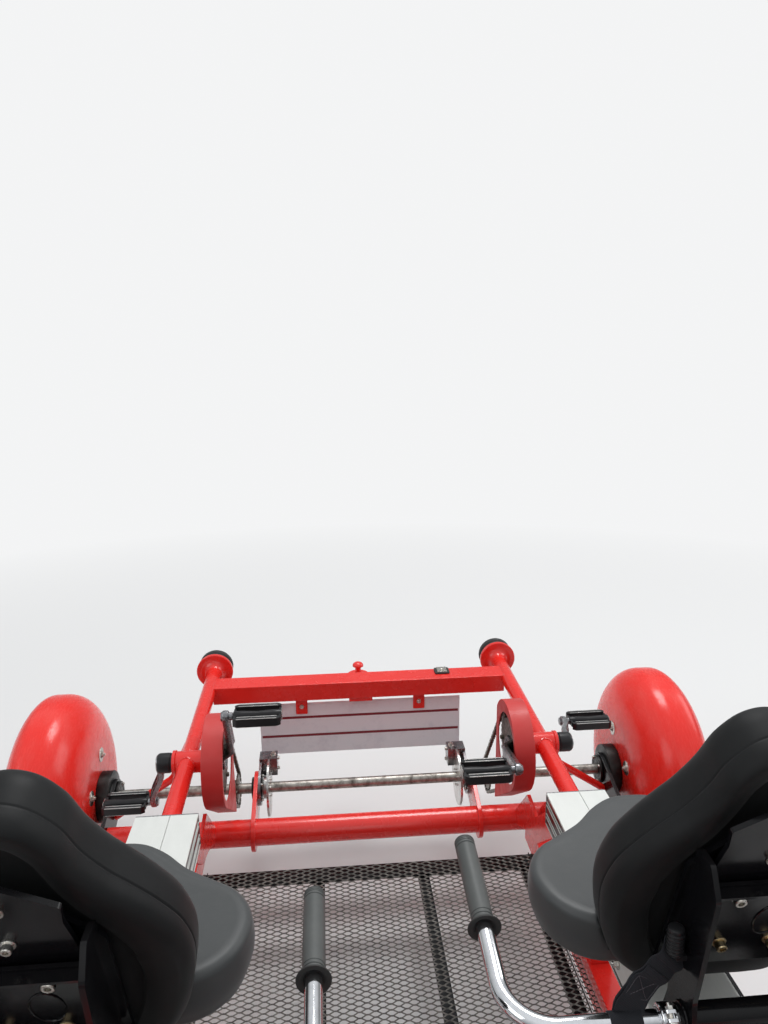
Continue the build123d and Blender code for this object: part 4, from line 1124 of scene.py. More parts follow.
@dataclass(frozen=True)
class SeatBeam:
    """The aluminium beams under the seats: pale top plate with a lengthwise seam, dark slotted sides, pale
    lips as painted highlights.
    """

    width: float = 0.114
    height: float = 0.065
    top: float = 0.45
    front: float = 0.68
    length: float = 0.72

    def section(self) -> Array:
        """Half the beam's outline below its top plate, with two grooves in the side, mirrored."""
        w = self.width / 2 - 0.0012
        groove = 0.009
        right = [(w, 0.0), (w, 0.014), (w - groove, 0.014), (w - groove, 0.022), (w, 0.022), (w, 0.04),
            (w - groove, 0.04), (w - groove, 0.048), (w, 0.048), (w, self.height - 0.004)]
        return np.array(right + [(-x, z) for x, z in right[::-1]])

    def build(self, dresser: Dresser) -> None:
        """Make the four beams, with their top plates, end caps and the pale lips that are painted highlights.
        """
        bottom, half, cap, seam, gap = self.top - self.height, self.width / 2, 0.003, 0.006, 0.0004
        bodies, plates, caps = [], [], []
        for end in End:
            y1 = self.front + end.station_y
            y0 = y1 - self.length
            long = (y0 + cap, y1 - cap)
            for side in Side:
                x = SIDE_X * side.value
                body = prism(self.section(), self.length - 2 * cap)
                bodies.append(body.placed((x, y1 - cap, bottom), X, Z, -Y))
                for low, high in ((-half, seam - gap), (seam + gap, half)):
                    plates.append(box((x + low, x + high), long, (self.top - 0.004, self.top)))
                # Lips: thin strips of the top's pale finish along the groove edges and the bottom edge,
                # painted highlights where those edges catch light.
                for z in (0.0, 0.0135, 0.0215, 0.0395, 0.0475):
                    for way in (-1, 1):
                        edge = sorted((x + way * (half - 0.0022), x + way * half))
                        plates.append(box(edge, long, (bottom + z, bottom + z + 0.0013)))
                caps += [box((x - half, x + half), (y, y + cap), (bottom, self.top)) for y in (y0, y1 - cap)]
        pieces = (("bodies", bodies, "black_paint", 0.0006), ("plates", plates, "aluminium", 0.0004),
            ("caps", caps, "crank_alloy", 0.0008))
        for name, shapes, finish, ease in pieces:
            shape = gather(shapes)
            dresser.piece(f"beam_{name}", shape, finish, "seat_beams", slot="beam_aluminium", ease=ease)


# Wheels, brakes and drive


@dataclass(frozen=True)
class WheelCovers:
    """The red covers: a rounded inner corner, a narrow crown and a domed outer face, open below.

    The profile is turned about the axle. Its inner corner is a quarter ellipse,
    (corner x - a cos t, corner r + b sin t), and its dome is (crown x + d cos t, r sin t).
    """

    inner: float = 0.64
    hub_r: float = 0.047
    radius: float = 0.248
    edge_x: float = 0.089
    edge_r: float = 0.13
    crown_x: float = 0.753
    dome: float = 0.082
    wall: float = 0.0038
    cut_z: float = 0.118

    def profile(self) -> Array:
        """The outer surface as (x, radius), from the hub hole over the crown to the middle."""
        t = np.linspace(0, np.pi / 2, 22)
        a, b = self.edge_x, self.edge_r
        corner = np.column_stack([self.inner + a - a * np.cos(t), self.radius - b + b * np.sin(t)])
        dome = np.column_stack([self.crown_x + self.dome * np.sin(t), self.radius * np.cos(t)])
        return np.vstack([[(self.inner, self.hub_r), (self.inner, 0.08)], corner, dome])

    def shell(self) -> Shape:
        """One cover's surface, cut level below the axle."""
        whole = lathe(self.profile(), 176).placed((0, AXLE_Y, AXLE_Z))
        mesh = mesh_of("cover_blank", whole)
        work = bmesh.new()
        work.from_mesh(mesh)
        parts = [*work.verts, *work.edges, *work.faces]
        spot, up = (0, 0, self.cut_z), (0, 0, 1)
        bmesh.ops.bisect_plane(work, geom=parts, dist=1e-5, plane_co=spot, plane_no=up, clear_inner=True)
        bmesh.ops.remove_doubles(work, verts=work.verts, dist=1e-5)
        work.verts.index_update()
        verts = np.array([tuple(vert.co) for vert in work.verts])
        loops = [np.array([[vert.index for vert in face.verts]]) for face in work.faces]
        work.free()
        bpy.data.meshes.remove(mesh)
        by_count = [np.vstack([f for f in loops if f.shape[1] == n]) for n in {f.shape[1] for f in loops}]
        return Shape(verts, by_count)

    def build(self, dresser: Dresser) -> None:
        """Make the four covers, and the washers and bolts on their inner faces."""
        shell = self.shell().both_sides()
        for end in End:
            name = f"wheel_covers_{end.word}"
            obj = dresser.piece(f"{name}_shells", shell.at_end(end), "cover_red", name, smooth=50)
            wall = obj.modifiers.new("wall", "SOLIDIFY")
            wall.thickness = self.wall
            wall.offset = -1
            bevelled(obj, 0.0012, 50)
        spots = ((self.inner, 1.145, 0.314), (self.inner, 1.044, 0.26))
        bolts = gather([screw(Head.HEX, 0.0068, spot, -X, 0.0175) for spot in spots])
        dresser.piece("cover_bolts", bolts.everywhere(), "bolt_steel", ease=0.0004)


@dataclass(frozen=True)
class AxleBearings:
    """The bearing housings in the inner and outer plates, with their collars and screws."""

    plate_in: float = 0.265
    plate_out: float = 0.606
    bore: float = 0.0127
    neck: float = 0.026
    collar: float = 0.034
    hub: float = 0.06
    cover: float = 0.64

    def housing(self, outer: bool) -> Shape:
        """One housing, turned about the axle."""
        x = self.plate_out if outer else self.plate_in
        end, back, neck = x - 0.012, x - 0.005, self.neck
        profile = [(end, self.bore), (end, 0.021), (x - 0.0105, 0.0225), (end, 0.024), (end, self.collar),
            (back, self.collar), (back, neck)]
        if outer:
            profile += [(x + 0.005, neck), (x + 0.005, self.hub), (self.cover, self.hub), (self.cover, neck)]
        return ring([*profile, (x + 0.012, neck), (x + 0.012, self.bore)], 0.0014, 80, 4)

    def build(self, dresser: Dresser) -> None:
        """Make the eight housings and the screws around their collars."""
        bodies, screws = [], []
        for outer in (False, True):
            x = (self.plate_out if outer else self.plate_in) - 0.012
            spots = [(x, *polar(0.0285, t)) for t in np.arange(4) * np.pi / 2 + np.pi / 4]
            heads = gather([screw(Head.SOCKET, 0.0034, spot, -X) for spot in spots])
            for side in Side:
                for end in End:
                    axle = (0, AXLE_Y * end.value, AXLE_Z)
                    bodies.append(self.housing(outer).on_side(side).placed(axle))
                    screws.append(heads.on_side(side).placed(axle))
        dresser.piece("bearing_housings", gather(bodies), "dark_steel", "axle_bearings")
        dresser.piece("bearing_screws", gather(screws), "bolt_steel")


def toothed(root: float, tip: float, teeth: int, phase: float = 0.0, steps: int = 8) -> Array:
    """A chain wheel's outline: root + (tip - root) w, with w = 0.5 + 0.8 cos(teeth t) held in 0 to 1."""
    t = np.arange(teeth * steps) * 2 * np.pi / (teeth * steps)
    wave = np.clip(0.5 + 0.8 * np.cos(teeth * (t - phase)), 0, 1)
    radius = root + (tip - root) * wave
    return np.stack([radius * np.cos(t), radius * np.sin(t)], -1)


@dataclass(frozen=True)
class Wheelset:
    """One end's axle with its flanged wheels, sprockets and brake discs."""

    axle_r: float = 0.0125
    axle_end: float = 0.763
    flange_x: float = 0.683
    tread_x: float = 0.711
    outer_x: float = 0.773
    tread_r: float = 0.19
    flange_r: float = 0.215
    rim_r: float = 0.168
    hub_r: float = 0.045
    disc_x: float = 0.235
    disc_r: float = 0.068
    sprocket_x: float = 0.312
    sprocket_r: float = 0.0362

    def tyre(self) -> Shape:
        """The rim with its flange and tread, about the axle."""
        low, flange, tread = self.rim_r, self.flange_r, self.tread_r
        x0, x1, x2 = self.flange_x, self.tread_x, self.outer_x
        profile = [(x0, low), (x0, flange - 0.006), (x0 + 0.004, flange - 0.0015), (x0 + 0.009, flange),
            (x0 + 0.014, flange - 0.003), (x0 + 0.021, tread + 0.006), (x1, tread),
            (x2 - 0.002, tread - 0.003), (x2, tread - 0.006), (x2, low)]
        return ring(profile, 0.004, 144)

    def centre(self) -> Shape:
        """The hub and web, about the axle."""
        hub, neck, rim = self.hub_r, self.hub_r - 0.012, self.rim_r + 0.0005
        web0, web1 = self.tread_x - 0.004, self.tread_x + 0.014
        hub0, hub1 = self.flange_x + 0.006, self.tread_x + 0.032
        inside = [(hub0, self.axle_r), (hub0, neck), (web0, hub), (web0 + 0.003, 0.09),
            (web0 + 0.003, self.rim_r - 0.02), (web0 - 0.006, rim)]
        outside = [(web1 + 0.006, rim), (web1 - 0.003, self.rim_r - 0.02), (web1 - 0.003, 0.09), (web1, hub),
            (hub1, neck), (hub1, self.axle_r)]
        return ring([*inside, *outside], 0.006, 96)

    def shaft(self) -> Shape:
        """The axle, with chamfered ends and the threads that its nuts run on."""
        end, r = self.axle_end, self.axle_r
        ridge = np.arange(end - 0.018, end - 0.002, 0.001)
        thread = [(x, r - (0.0006 if i % 2 else 0.0)) for i, x in enumerate(ridge)]
        half = [(0.0, r), (end - 0.0185, r), *thread, (end - 0.001, r - 0.0012), (end, r - 0.0022), (end, 0)]
        return lathe([(-x, rad) for x, rad in half[:0:-1]] + half, 48)

    def disc(self) -> Shape:
        """A brake disc with windows and vent holes, and its hub."""
        x, angles = self.disc_x, np.arange(6) * np.pi / 3
        holes = [circle(self.axle_r), *(circle(0.0072, polar(0.0365, t), 20) for t in angles)]
        for step in range(24):
            holes.append(circle(0.0024, polar(0.052 if step % 2 else 0.0595, step * np.pi / 12), 10))
        plate = pierced(circle(self.disc_r, count=96), holes, 0.005).upright(x - 0.0025)
        hub = ring([(x, self.axle_r), (x, 0.0265), (x + 0.014, 0.0265), (x + 0.014, self.axle_r)], 0.0016, 56)
        spots = [(x - 0.0025, *polar(0.0215, t)) for t in angles + np.pi / 6]
        return gather([plate, hub, *(screw(Head.SOCKET, 0.0026, spot, -X) for spot in spots)])

    def sprocket(self) -> Shape:
        """A sprocket with twenty teeth that stay under the chain's rollers, and its hub."""
        x, r = self.sprocket_x, self.axle_r
        plate = pierced(toothed(self.sprocket_r - 0.0028, self.sprocket_r, 20), [circle(r)], 0.004)
        hub = [(x - 0.003, r), (x - 0.003, 0.0245), (x, 0.0245), (x + 0.002, 0.0215), (x + 0.02, 0.0215),
            (x + 0.02, r)]
        key = screw(Head.SOCKET, 0.003, (x + 0.012, 0, 0.0205), Z)
        return gather([plate.upright(x - 0.002), ring(hub, 0.0014, 56), key])

    def nut(self) -> Shape:
        """The nut and washer on an axle end."""
        x, r = self.tread_x + 0.032, self.axle_r
        washer = ring([(x, r), (x, 0.0225), (x + 0.002, 0.0225), (x + 0.002, r)], 0.0006, 48)
        body = pierced(circle(0.0195, count=6), [circle(r, count=30)], 0.011)
        return gather([washer, body.upright(x + 0.002)])

    def build(self, dresser: Dresser) -> None:
        """Make both wheelsets."""
        rows = (
            ("tyres", self.tyre().both_sides(), "tread_steel", "wheels", "wheel_steel", 0.0),
            ("wheel_centres", self.centre().both_sides(), "wheel_steel", "wheels", "", 0.0),
            ("shaft", self.shaft(), "axle_steel", "axle", "", 0.0),
            ("brake_discs", self.disc().both_sides(), "tread_steel", "axle_fittings", "dark_steel", 0.0),
            ("sprockets", self.sprocket().both_sides(), "chain_steel", "axle_fittings", "", 0.0),
            ("axle_nuts", self.nut().both_sides(), "bolt_steel", "", "", 0.0008),
        )
        for end in End:
            body = f"wheelset_{end.word}"
            for name, shape, finish, node, slot, ease in rows:
                placed = shape.placed((0, AXLE_Y * end.value, AXLE_Z))
                stands_for = node and f"{node}_{end.word}"
                dresser.piece(f"{name}_{end.word}", placed, finish, stands_for, body, slot, ease)


@dataclass(frozen=True)
class Chain:
    """A roller chain: pairs of waisted plates, wide and narrow in turn, on rollers and pins."""

    x: float = 0.312
    pitch: float = 0.0127
    ring_path: float = 0.0848
    sprocket_path: float = 0.0408
    plate_r: float = 0.0041
    plate_t: float = 0.001

    def links(self, end: End) -> Shape:
        """One right chain at one end: link k runs from roller k to roller k + 1 along the loop."""
        start = (BB_Y + end.station_y, TUBE_Z)
        path = belt_loop(start, self.ring_path, (AXLE_Y * end.value, AXLE_Z), self.sprocket_path, 160)
        loop = np.vstack([path, path[:1]])
        length = run_of(loop)
        count = 2 * round(length[-1] / self.pitch / 2)
        spots = sampled(loop, np.arange(count) * length[-1] / count, length)
        step = np.roll(spots, -1, 0) - spots
        along = np.column_stack([np.zeros(count), unit(step)])
        across = np.cross(along, X)
        origins = np.column_stack([np.full(count, self.x), spots])
        reach = float(np.linalg.norm(step, axis=1).mean())
        sizes = ((0.0019, 0.0036, 12), (0.004, 0.0016, 8))
        roller, pin = (lathe([(-x, 0), (-x, r), (x, r), (x, 0)], n) for x, r, n in sizes)
        links = []
        for k, half in enumerate((0.002, 0.0031)):
            links.append(repeated(self.plates(reach, half), origins[k::2], along[k::2], across[k::2], X))
        return gather([*links, repeated(gather([roller, pin]), origins, X, along, across)])

    def plates(self, reach: float, half: float) -> Shape:
        """A link's two plates: round ends with a waist, half a width either side of the middle."""
        r = self.plate_r
        quarter = [(-r, 0), (-0.7 * r, 0.72 * r), (0, r), (0.3 * reach, 0.78 * r), (0.5 * reach, 0.68 * r)]
        top = quarter + [(reach - x, y) for x, y in quarter[-2::-1]]
        outline = np.array(top + [(x, -y) for x, y in top[-2:0:-1]])
        return gather([prism(outline, self.plate_t).placed((0, 0, z)) for z in (half, -half - self.plate_t)])

    def build(self, dresser: Dresser) -> None:
        """Make the four chains."""
        for end in End:
            name = f"chains_{end.word}"
            dresser.piece(f"{name}_links", self.links(end).both_sides(), "chain_steel", name)
            dresser.eased_copy(f"chain_guards_{end.word}", "dull_red")


@dataclass(frozen=True)
class CrankSet:
    """A crank set at its station: chainring, spindle and two forged arms with a pedal on each."""

    side: Side
    end: End
    angle: float
    length: float = 0.167
    hub_r: float = 0.021
    arm_end_r: float = 0.012
    arm_t: float = 0.013
    tip: float = 0.091
    ring_x: float = -0.073
    pedal_in: float = 0.112
    pedal_w: float = 0.097
    pedal_d: float = 0.065
    pedal_h: float = 0.026

    @property
    def word(self) -> str:
        """The station's name in node names."""
        return f"{self.end.word}_{self.side.word}"

    @property
    def spot(self) -> tuple[float, float, float]:
        """The spindle's middle."""
        return (SIDE_X * self.side.value, BB_Y + self.end.station_y, TUBE_Z)

    def set_on(self, shape: Shape) -> Shape:
        """A right crank set's piece, turned to its angle and put on its side."""
        return shape.turned_x(self.angle).on_side(self.side).placed(self.spot)

    def arm(self, root: float, bend: float, straight: float) -> Shape:
        """A forged arm along +Y: its inner face leaves root at y = bend and reaches the tip at y = straight.

        With t = (y - bend) / (straight - bend) held in 0 to 1, the face is at
        x = root + (tip - root) (0.35 t + 0.65 (3 t^2 - 2 t^3)), and the half width falls along the arm
        from the hub's radius to the end's. The section is a bar with rounded edges and a shallow hollow
        along its outer face.
        """
        base = self.hub_r - 0.0025
        y = np.concatenate([-base * np.cos(np.linspace(0, 1.2, 9)), np.linspace(0, self.length, 60)])
        y = np.concatenate([y, self.length + self.arm_end_r * np.sin(np.linspace(0.12, np.pi / 2, 10))])
        slope = (base - self.arm_end_r) / self.length
        half = base - slope * y.clip(0, self.length)
        half = np.where(y < 0, np.sqrt((base**2 - y**2).clip(4e-6)), half)
        past = (y - self.length).clip(0)
        half = np.where(past > 0, np.sqrt((self.arm_end_r**2 - past**2).clip(4e-6)), half)
        t = ((y - bend) / (straight - bend)).clip(0, 1)
        face = root + (self.tip - root) * (0.35 * t + 0.65 * (3 - 2 * t) * t**2)
        thick, soft = self.arm_t, 0.0032
        corner = np.linspace(0, np.pi / 2, 5)
        rise = np.concatenate([soft * (1 - np.sin(corner[::-1])), thick - soft * (1 - np.sin(corner))])
        pull = np.concatenate([soft * (1 - np.cos(corner[::-1])), soft * (1 - np.cos(corner))])
        along = ((y - 0.03) * (self.length - 0.024 - y) / 0.0016).clip(0, 1)
        across = np.array([0.62, 0.42, 0.0])
        sunk = np.array([0.0, 0.0022, 0.0022])
        shape = (len(y), len(rise))
        right = np.stack([half[:, None] - np.minimum(pull, half[:, None] * 0.9),
            np.broadcast_to(rise, shape)], -1)
        lip = np.stack([half[:, None] * across, thick - along[:, None] * sunk], -1)
        side = np.concatenate([right, lip], 1)
        left = side[:, ::-1] * [-1, 1]
        section = np.concatenate([side, left[:, 1:]], 1)
        stations = np.broadcast_to(y[:, None], section.shape[:2])
        return capped(np.stack([face[:, None] + section[..., 1], stations, section[..., 0]], -1))

    def ring(self) -> Shape:
        """The chainring: 42 teeth under the chain's rollers, five windows and the bolts between them."""
        holes, bolts = [circle(0.0085, count=24)], []
        for step in range(5):
            holes.append(circle(0.02, polar(0.052, math.radians(36 + 72 * step)), 40))
            for way in (-1, 1):
                spot = (self.ring_x + way * 0.0015, *polar(0.062, math.radians(72 * step)))
                bolts.append(screw(Head.SOCKET, 0.0048, spot, X * way))
        plate = pierced(toothed(0.076, 0.08, 42), holes, 0.003)
        return gather([plate.upright(self.ring_x - 0.0015), *bolts])

    def hub(self, start: float, end: float, seat: float) -> Shape:
        """A black arm hub with a domed outer face, and the dust ring between it and the boss."""
        r, dust, gap = self.hub_r, self.hub_r - 0.0012, start - 0.0003
        profile = [(start, 0.0085), (start, r), (end - 0.007, r), (end - 0.0035, r - 0.0016),
            (end - 0.001, r - 0.006), (end, 0.01), (end - 0.001, 0.0085), (end - 0.0012, 0.0)]
        body = lathe([(start, 0.0), *softened(profile, 0.0016)], 56)
        return gather([body, ring([(seat, 0.0095), (seat, dust), (gap, dust), (gap, 0.0095)], 0.0008, 48)])

    def hubs(self) -> Shape:
        """The two hubs."""
        return gather([self.hub(0.035, 0.0648, 0.0313), self.hub(0.067, 0.0818, 0.0633).mirrored(0)])

    def metal(self) -> Shape:
        """The spindle, both arms and the pedal pins."""
        outer = self.arm(0.051, 0.02, 0.15)
        inner = self.arm(0.068, 0.022, 0.052).mirrored(0).mirrored(1)
        spindle = rod((-0.068, 0, 0), (0.051, 0, 0), 0.0085, 32)
        start, end, y = self.tip + self.arm_t, self.pedal_in - 0.001, self.length
        pin = rod((start - 0.002, y, 0), (self.pedal_in + self.pedal_w - 0.002, y, 0), 0.0045, 20)
        collar = lathe([(start - 0.001, 0), (start - 0.001, 0.0078), (end, 0.0078), (end, 0)], 24)
        nut = prism(circle(0.0092, count=6), 0.0028).upright(self.tip - 0.0027, y)
        pins = gather([pin, collar.placed((0, y, 0)), nut])
        return gather([outer, inner, spindle, pins, pins.mirrored(0).mirrored(1)])

    def pedal(self) -> tuple[Shape, Shape]:
        """A pedal from x = 0 outwards: the cage and barrel, then its bright rails, which paint highlights
        along the cage's edges, and pins.
        """
        w, d, h = self.pedal_w, self.pedal_d / 2, self.pedal_h / 2 - 0.0048
        edge = w - 0.001
        bar = [(0.003, d - 0.0115), (w - 0.003, d - 0.0115), (edge, d - 0.005), (w - 0.008, d), (0.008, d),
            (0.001, d - 0.005)]
        slot = slot_loop((0.013, d - 0.0058), (w - 0.013, d - 0.0058), 0.003)
        front = pierced(softened(bar, 0.002, closed=True), [slot], 2 * h).placed((0, 0, -h))
        ends = ((0.0012, 0.0058), (w - 0.0058, w - 0.0012))
        walls = [box(x, (0.012 - d, d - 0.012), (0.003 - h, h - 0.003)) for x in ends]
        bend = [(0.001, 0.0086), (0.003, 0.0097), (0.018, 0.0097), (w / 2, 0.008), (w - 0.018, 0.0097)]
        barrel = lathe([(0.0, 0.0), (0.0, 0.006), *bend, (w - 0.003, 0.0097), (w, 0.0086), (w, 0)], 40)
        # Rails: bright steel strips along the plates' edges, painted highlights.
        rails = [box((0.009, w - 0.009), sorted((s * (d - y), s * (d - y + 0.0026))),
            sorted((up * (h - 0.001), up * (h + 0.001)))) for s in (-1, 1) for up in (-1, 1)
            for y in (0.0027, 0.0114)]
        tip = box((edge, w + 0.0006), (-0.0105, 0.0105), (-0.0085, 0.0085))
        return gather([front, front.mirrored(1), *walls, barrel]), gather([*rails, tip])

    def build(self, dresser: Dresser) -> None:
        """Make the crank set and its two pedals."""
        body = f"crank_{self.word}"
        rows = (("arms", self.metal(), "crank_alloy", 0.0016), ("ring", self.ring(), "chain_steel", 0.0),
            ("hubs", self.hubs(), "black_plastic", 0.0))
        for name, shape, finish, ease in rows:
            dresser.piece(f"{body}_{name}", self.set_on(shape), finish, body, body, "crank_alloy", ease)
        cage, bright = self.pedal()
        # The rails' bright steel paints highlights on the black cage.
        rows = (("cage", cage, "black_plastic", 0.0012), ("rails", bright, "tread_steel", 0.0005))
        for place, way in (("outer", 1), ("inner", -1)):
            body = f"pedal_{self.word}_{place}"
            pin = (0, *polar(way * self.length, math.radians(self.angle)))
            for name, shape, finish, ease in rows:
                out = shape.placed((self.pedal_in, 0, 0))
                turned = (out if way > 0 else out.mirrored(0)).placed(pin)
                placed = turned.on_side(self.side).placed(self.spot)
                dresser.piece(f"{body}_{name}", placed, finish, body, body, "black_plastic", ease)


@dataclass(frozen=True)
class Brakes:
    """The calipers over the discs, and the hand lever on its floor bracket."""

    caliper_x: float = 0.216
    caliper_y: float = 1.1708
    caliper_z: float = 0.2506
    lever_y: float = -0.56
    lever_z: float = 0.205
    length: float = 0.33
    lean: float = 15.0

    def lever(self) -> Shape:
        """The lever's flat bar with its hole and pivot, straight up from the pivot at the origin."""
        outline = belt_loop((0, 0), 0.017, (0, self.length), 0.013, 36)
        holes = [circle(0.0045, (0, z), 16) for z in (0.06, 0.11)]
        bar = pierced(outline, holes, 0.012).upright(-0.006)
        pin = lathe(softened([(-0.015, 0), (-0.015, 0.006), (0.015, 0.006), (0.015, 0)], 0.0008), 28)
        heads = [screw(Head.HEX, 0.0085, (way * 0.015, 0, 0), X * way, 0.0105) for way in (-1, 1)]
        return gather([bar, pin, *heads])

    def grip(self) -> Shape:
        """The ribbed grip around the lever's top."""
        low, high = self.length - 0.11, self.length + 0.02
        places = np.linspace(low + 0.006, high - 0.012, 34)
        ribs = [(x, 0.0148 if i % 3 else 0.0136) for i, x in enumerate(places)]
        profile = [(low, 0), (low, 0.0135), (low + 0.003, 0.015), *ribs, (high - 0.008, 0.0148),
            (high - 0.002, 0.0115), (high, 0.006), (high, 0)]
        return lathe(profile, 44).placed((0, 0, 0), Z, X, Y)

    def build(self, dresser: Dresser) -> None:
        """Make the calipers, the lever and its bracket."""
        dresser.eased_copy("brake_calipers", "crank_alloy", ease=0.0022, slot="caliper_steel")
        y, z = self.caliper_y, self.caliper_z
        right = [screw(Head.SOCKET, 0.0042, (self.caliper_x, y, z + dz), -X) for dz in (-0.014, 0.014)]
        right.append(screw(Head.HEX, 0.0062, (0.226, y, z + 0.023), Z, 0.0075))
        dresser.piece("caliper_screws", gather(right).everywhere(), "bolt_steel")
        dresser.eased_copy("lever_bracket", "black_paint")
        spots = [(x, self.lever_y + dy, 0.161) for x in (-0.034, 0.034) for dy in (-0.038, 0.038)]
        feet = gather([screw(Head.HEX, 0.0062, spot, Z, 0.009) for spot in spots])
        dresser.piece("bracket_screws", feet, "bolt_steel")
        lever, grip = (shape.turned_x(self.lean).placed((0, self.lever_y, self.lever_z))
            for shape in (self.lever(), self.grip()))
        body = "brake_lever"
        dresser.piece("lever_bar", lever, "black_paint", body, body, ease=0.0014)
        dresser.piece("lever_grip", grip, "grip_rubber", body, body, "black_paint")


# Seats


@dataclass(frozen=True)
class SeatPan:
    """The foam seat pan: a pear outline with a rounded rim, bulged walls and a shallow dish.

    Wall row k is the outline moved in by an inset at a height. The top and the underside shrink
    towards the middle by a factor s, and the top lies at rim - dish (1 - s^2). The rear is held in
    front of the seat back, and on either side of it the pan reaches further back.
    """

    top: float = 0.6
    bottom: float = 0.53
    dish: float = 0.009
    rim: float = 0.013
    middle: tuple[float, float] = (0.0, 0.318)

    def outline(self) -> Array:
        """The pan seen from above, wide behind and drawn in to a round nose."""
        right = [(0.092, 0.179), (0.1317, 0.181), (0.1635, 0.196), (0.1883, 0.2242), (0.2005, 0.262),
            (0.2, 0.29), (0.19, 0.3165), (0.172, 0.338), (0.151, 0.3515), (0.105, 0.3805), (0.07, 0.415),
            (0.036, 0.4385)]
        left = [(-x, y) for x, y in right[::-1]]
        back = [(-0.046, 0.1785), (0.0, 0.1785), (0.046, 0.1785)]
        return closed_curve([*right, (0.0, 0.4445), *left, *back], 300)

    def form(self) -> Shape:
        """The pan at its station, with its rear wall lying along the seat back's front."""
        loop = self.outline()
        out = loop_normals(loop)
        t = np.linspace(0, np.pi / 2, 10)
        rim = self.rim
        inset = [*(0.014 - 0.006 * np.sin(t[::3])), 0.0042, 0.0012, 0.0, 0.0004,
            *(0.0016 + rim * (1 - np.cos(t)))]
        height = [*(self.bottom + 0.006 * (1 - np.cos(t[::3]))), 0.546, 0.557, 0.569, 0.579,
            *(self.top - rim + rim * np.sin(t))]
        walls = loop[None] - out[None] * np.array(inset)[:, None, None]
        shrink = np.array([0.985, 0.96, 0.92, 0.86, 0.78, 0.68, 0.56, 0.42, 0.28, 0.14, 0.0])
        centre = np.array(self.middle)
        lid = centre + (walls[-1] - centre) * shrink[:, None, None]
        base = centre + (walls[0] - centre) * shrink[::-3, None, None]
        plan = np.concatenate([base, walls, lid])
        lid_height = self.top + 0.0006 - self.dish * (1 - shrink**2)
        levels = np.concatenate([np.full(len(base), self.bottom), height, lid_height])
        points = np.dstack([plan, np.broadcast_to(levels[:, None], plan.shape[:2])])
        crown = 0.004 * np.exp(-(((points[..., 1] - 0.4) / 0.05) ** 2)) * (points[..., 2] > self.top - 0.012)
        points[..., 2] += np.minimum(crown, self.top - points[..., 2]).clip(0)
        face = 0.18 - 0.33 * (points[..., 2] - 0.605) + 0.0405
        half = np.interp(points[..., 2], [0.53, 0.545, 0.57, 0.6], [0.057, 0.092, 0.12, 0.136])
        over = (0.027 - half + np.abs(points[..., 0])).clip(0, 0.027)
        face -= 1.05 * (0.027 - np.sqrt(0.027**2 - over**2))
        beside = ((np.abs(points[..., 0]) - half) / 0.008).clip(0, 1)
        face -= (face - 0.1785) * beside**2 * (3 - 2 * beside)
        points[..., 1] = np.maximum(points[..., 1], face)
        return grid_shape(points, wrap_cols=True)


@dataclass(frozen=True)
class SeatBack:
    """The foam seat back: a leaning leaf outline, thick round edges and a recessed rear panel.

    Row k is the outline moved in by an inset, at a depth behind the middle plane; the inset halves
    towards the narrow top. The front sinks by hollow (1 - s^2) as it shrinks by s, and a narrow seam
    runs around the side.
    """

    y: float = 0.18
    z: float = 0.605
    slope: float = 0.33
    half_t: float = 0.038
    hollow: float = 0.013
    middle: tuple[float, float] = (0.0, 0.118)

    @property
    def axes(self) -> tuple[Array, Array, Array]:
        """Across, up the slope and to the rear."""
        lean = math.atan(self.slope)
        up = np.array([0, -math.sin(lean), math.cos(lean)])
        return X, up, np.array([0, -math.cos(lean), -math.sin(lean)])

    def at(self, x: float, rise: float, depth: float) -> Array:
        """A point across, up the slope and behind the back's middle."""
        return np.array([0, self.y, self.z]) + np.array([x, rise, depth]) @ np.array(self.axes)

    def outline(self) -> Array:
        """The back seen square to its plane."""
        right = [(0.052, -0.0905), (0.086, -0.083), (0.12, -0.047), (0.142, 0.004), (0.1545, 0.078),
            (0.1475, 0.13), (0.127, 0.168), (0.104, 0.198), (0.085, 0.221), (0.066, 0.253), (0.053, 0.288),
            (0.03, 0.316)]
        left = [(-x, y) for x, y in right[::-1]]
        return closed_curve([*right, (0.0, 0.3262), *left, (0.0, -0.0895)], 340)

    def form(self) -> Shape:
        """The back at its station."""
        loop = self.outline()
        out = loop_normals(loop)
        h = self.half_t
        t = np.linspace(0, np.pi / 2, 10)
        front_r, rear_r = 0.027, 0.02
        rows = [(0.064, h - 0.0062), (0.0525, h - 0.0056), (0.0505, h - 0.0046), (0.049, h - 0.0012),
            (0.047, h), (rear_r + 0.008, h)]
        rows += [(rear_r * (1 - math.sin(a)), h - rear_r * (1 - math.cos(a))) for a in t[1:]]
        rows += [(0.0, 0.0125), (0.0002, 0.0112), (0.0013, 0.0103), (0.0013, 0.0095), (0.0002, 0.0086)]
        rows += [(0.0, 0.007), (-0.0002, 0.0)]
        rows += [(front_r * (1 - math.cos(a)), -h + front_r - front_r * math.sin(a)) for a in t]
        inset, depth = np.array(rows).T
        narrow = np.interp(loop[:, 1], [0.12, 0.26], [1.0, 0.5])
        walls = loop[None] - out[None] * (inset[:, None] * narrow)[..., None]
        shrink = np.array([0.975, 0.94, 0.89, 0.82, 0.73, 0.62, 0.5, 0.36, 0.2, 0.0])
        centre = np.array(self.middle)
        front = centre + (walls[-1] - centre) * shrink[:, None, None]
        rear = centre + (walls[0] - centre) * shrink[::-1, None, None]
        plan = np.concatenate([rear, walls, front])
        front_depth = -h + self.hollow * (1 - shrink**2)
        depths = np.concatenate([np.full(len(rear), depth[0]), depth, front_depth])
        points = np.dstack([plan, np.broadcast_to(depths[:, None], plan.shape[:2])])
        return grid_shape(points, wrap_cols=True).placed((0, self.y, self.z), *self.axes)


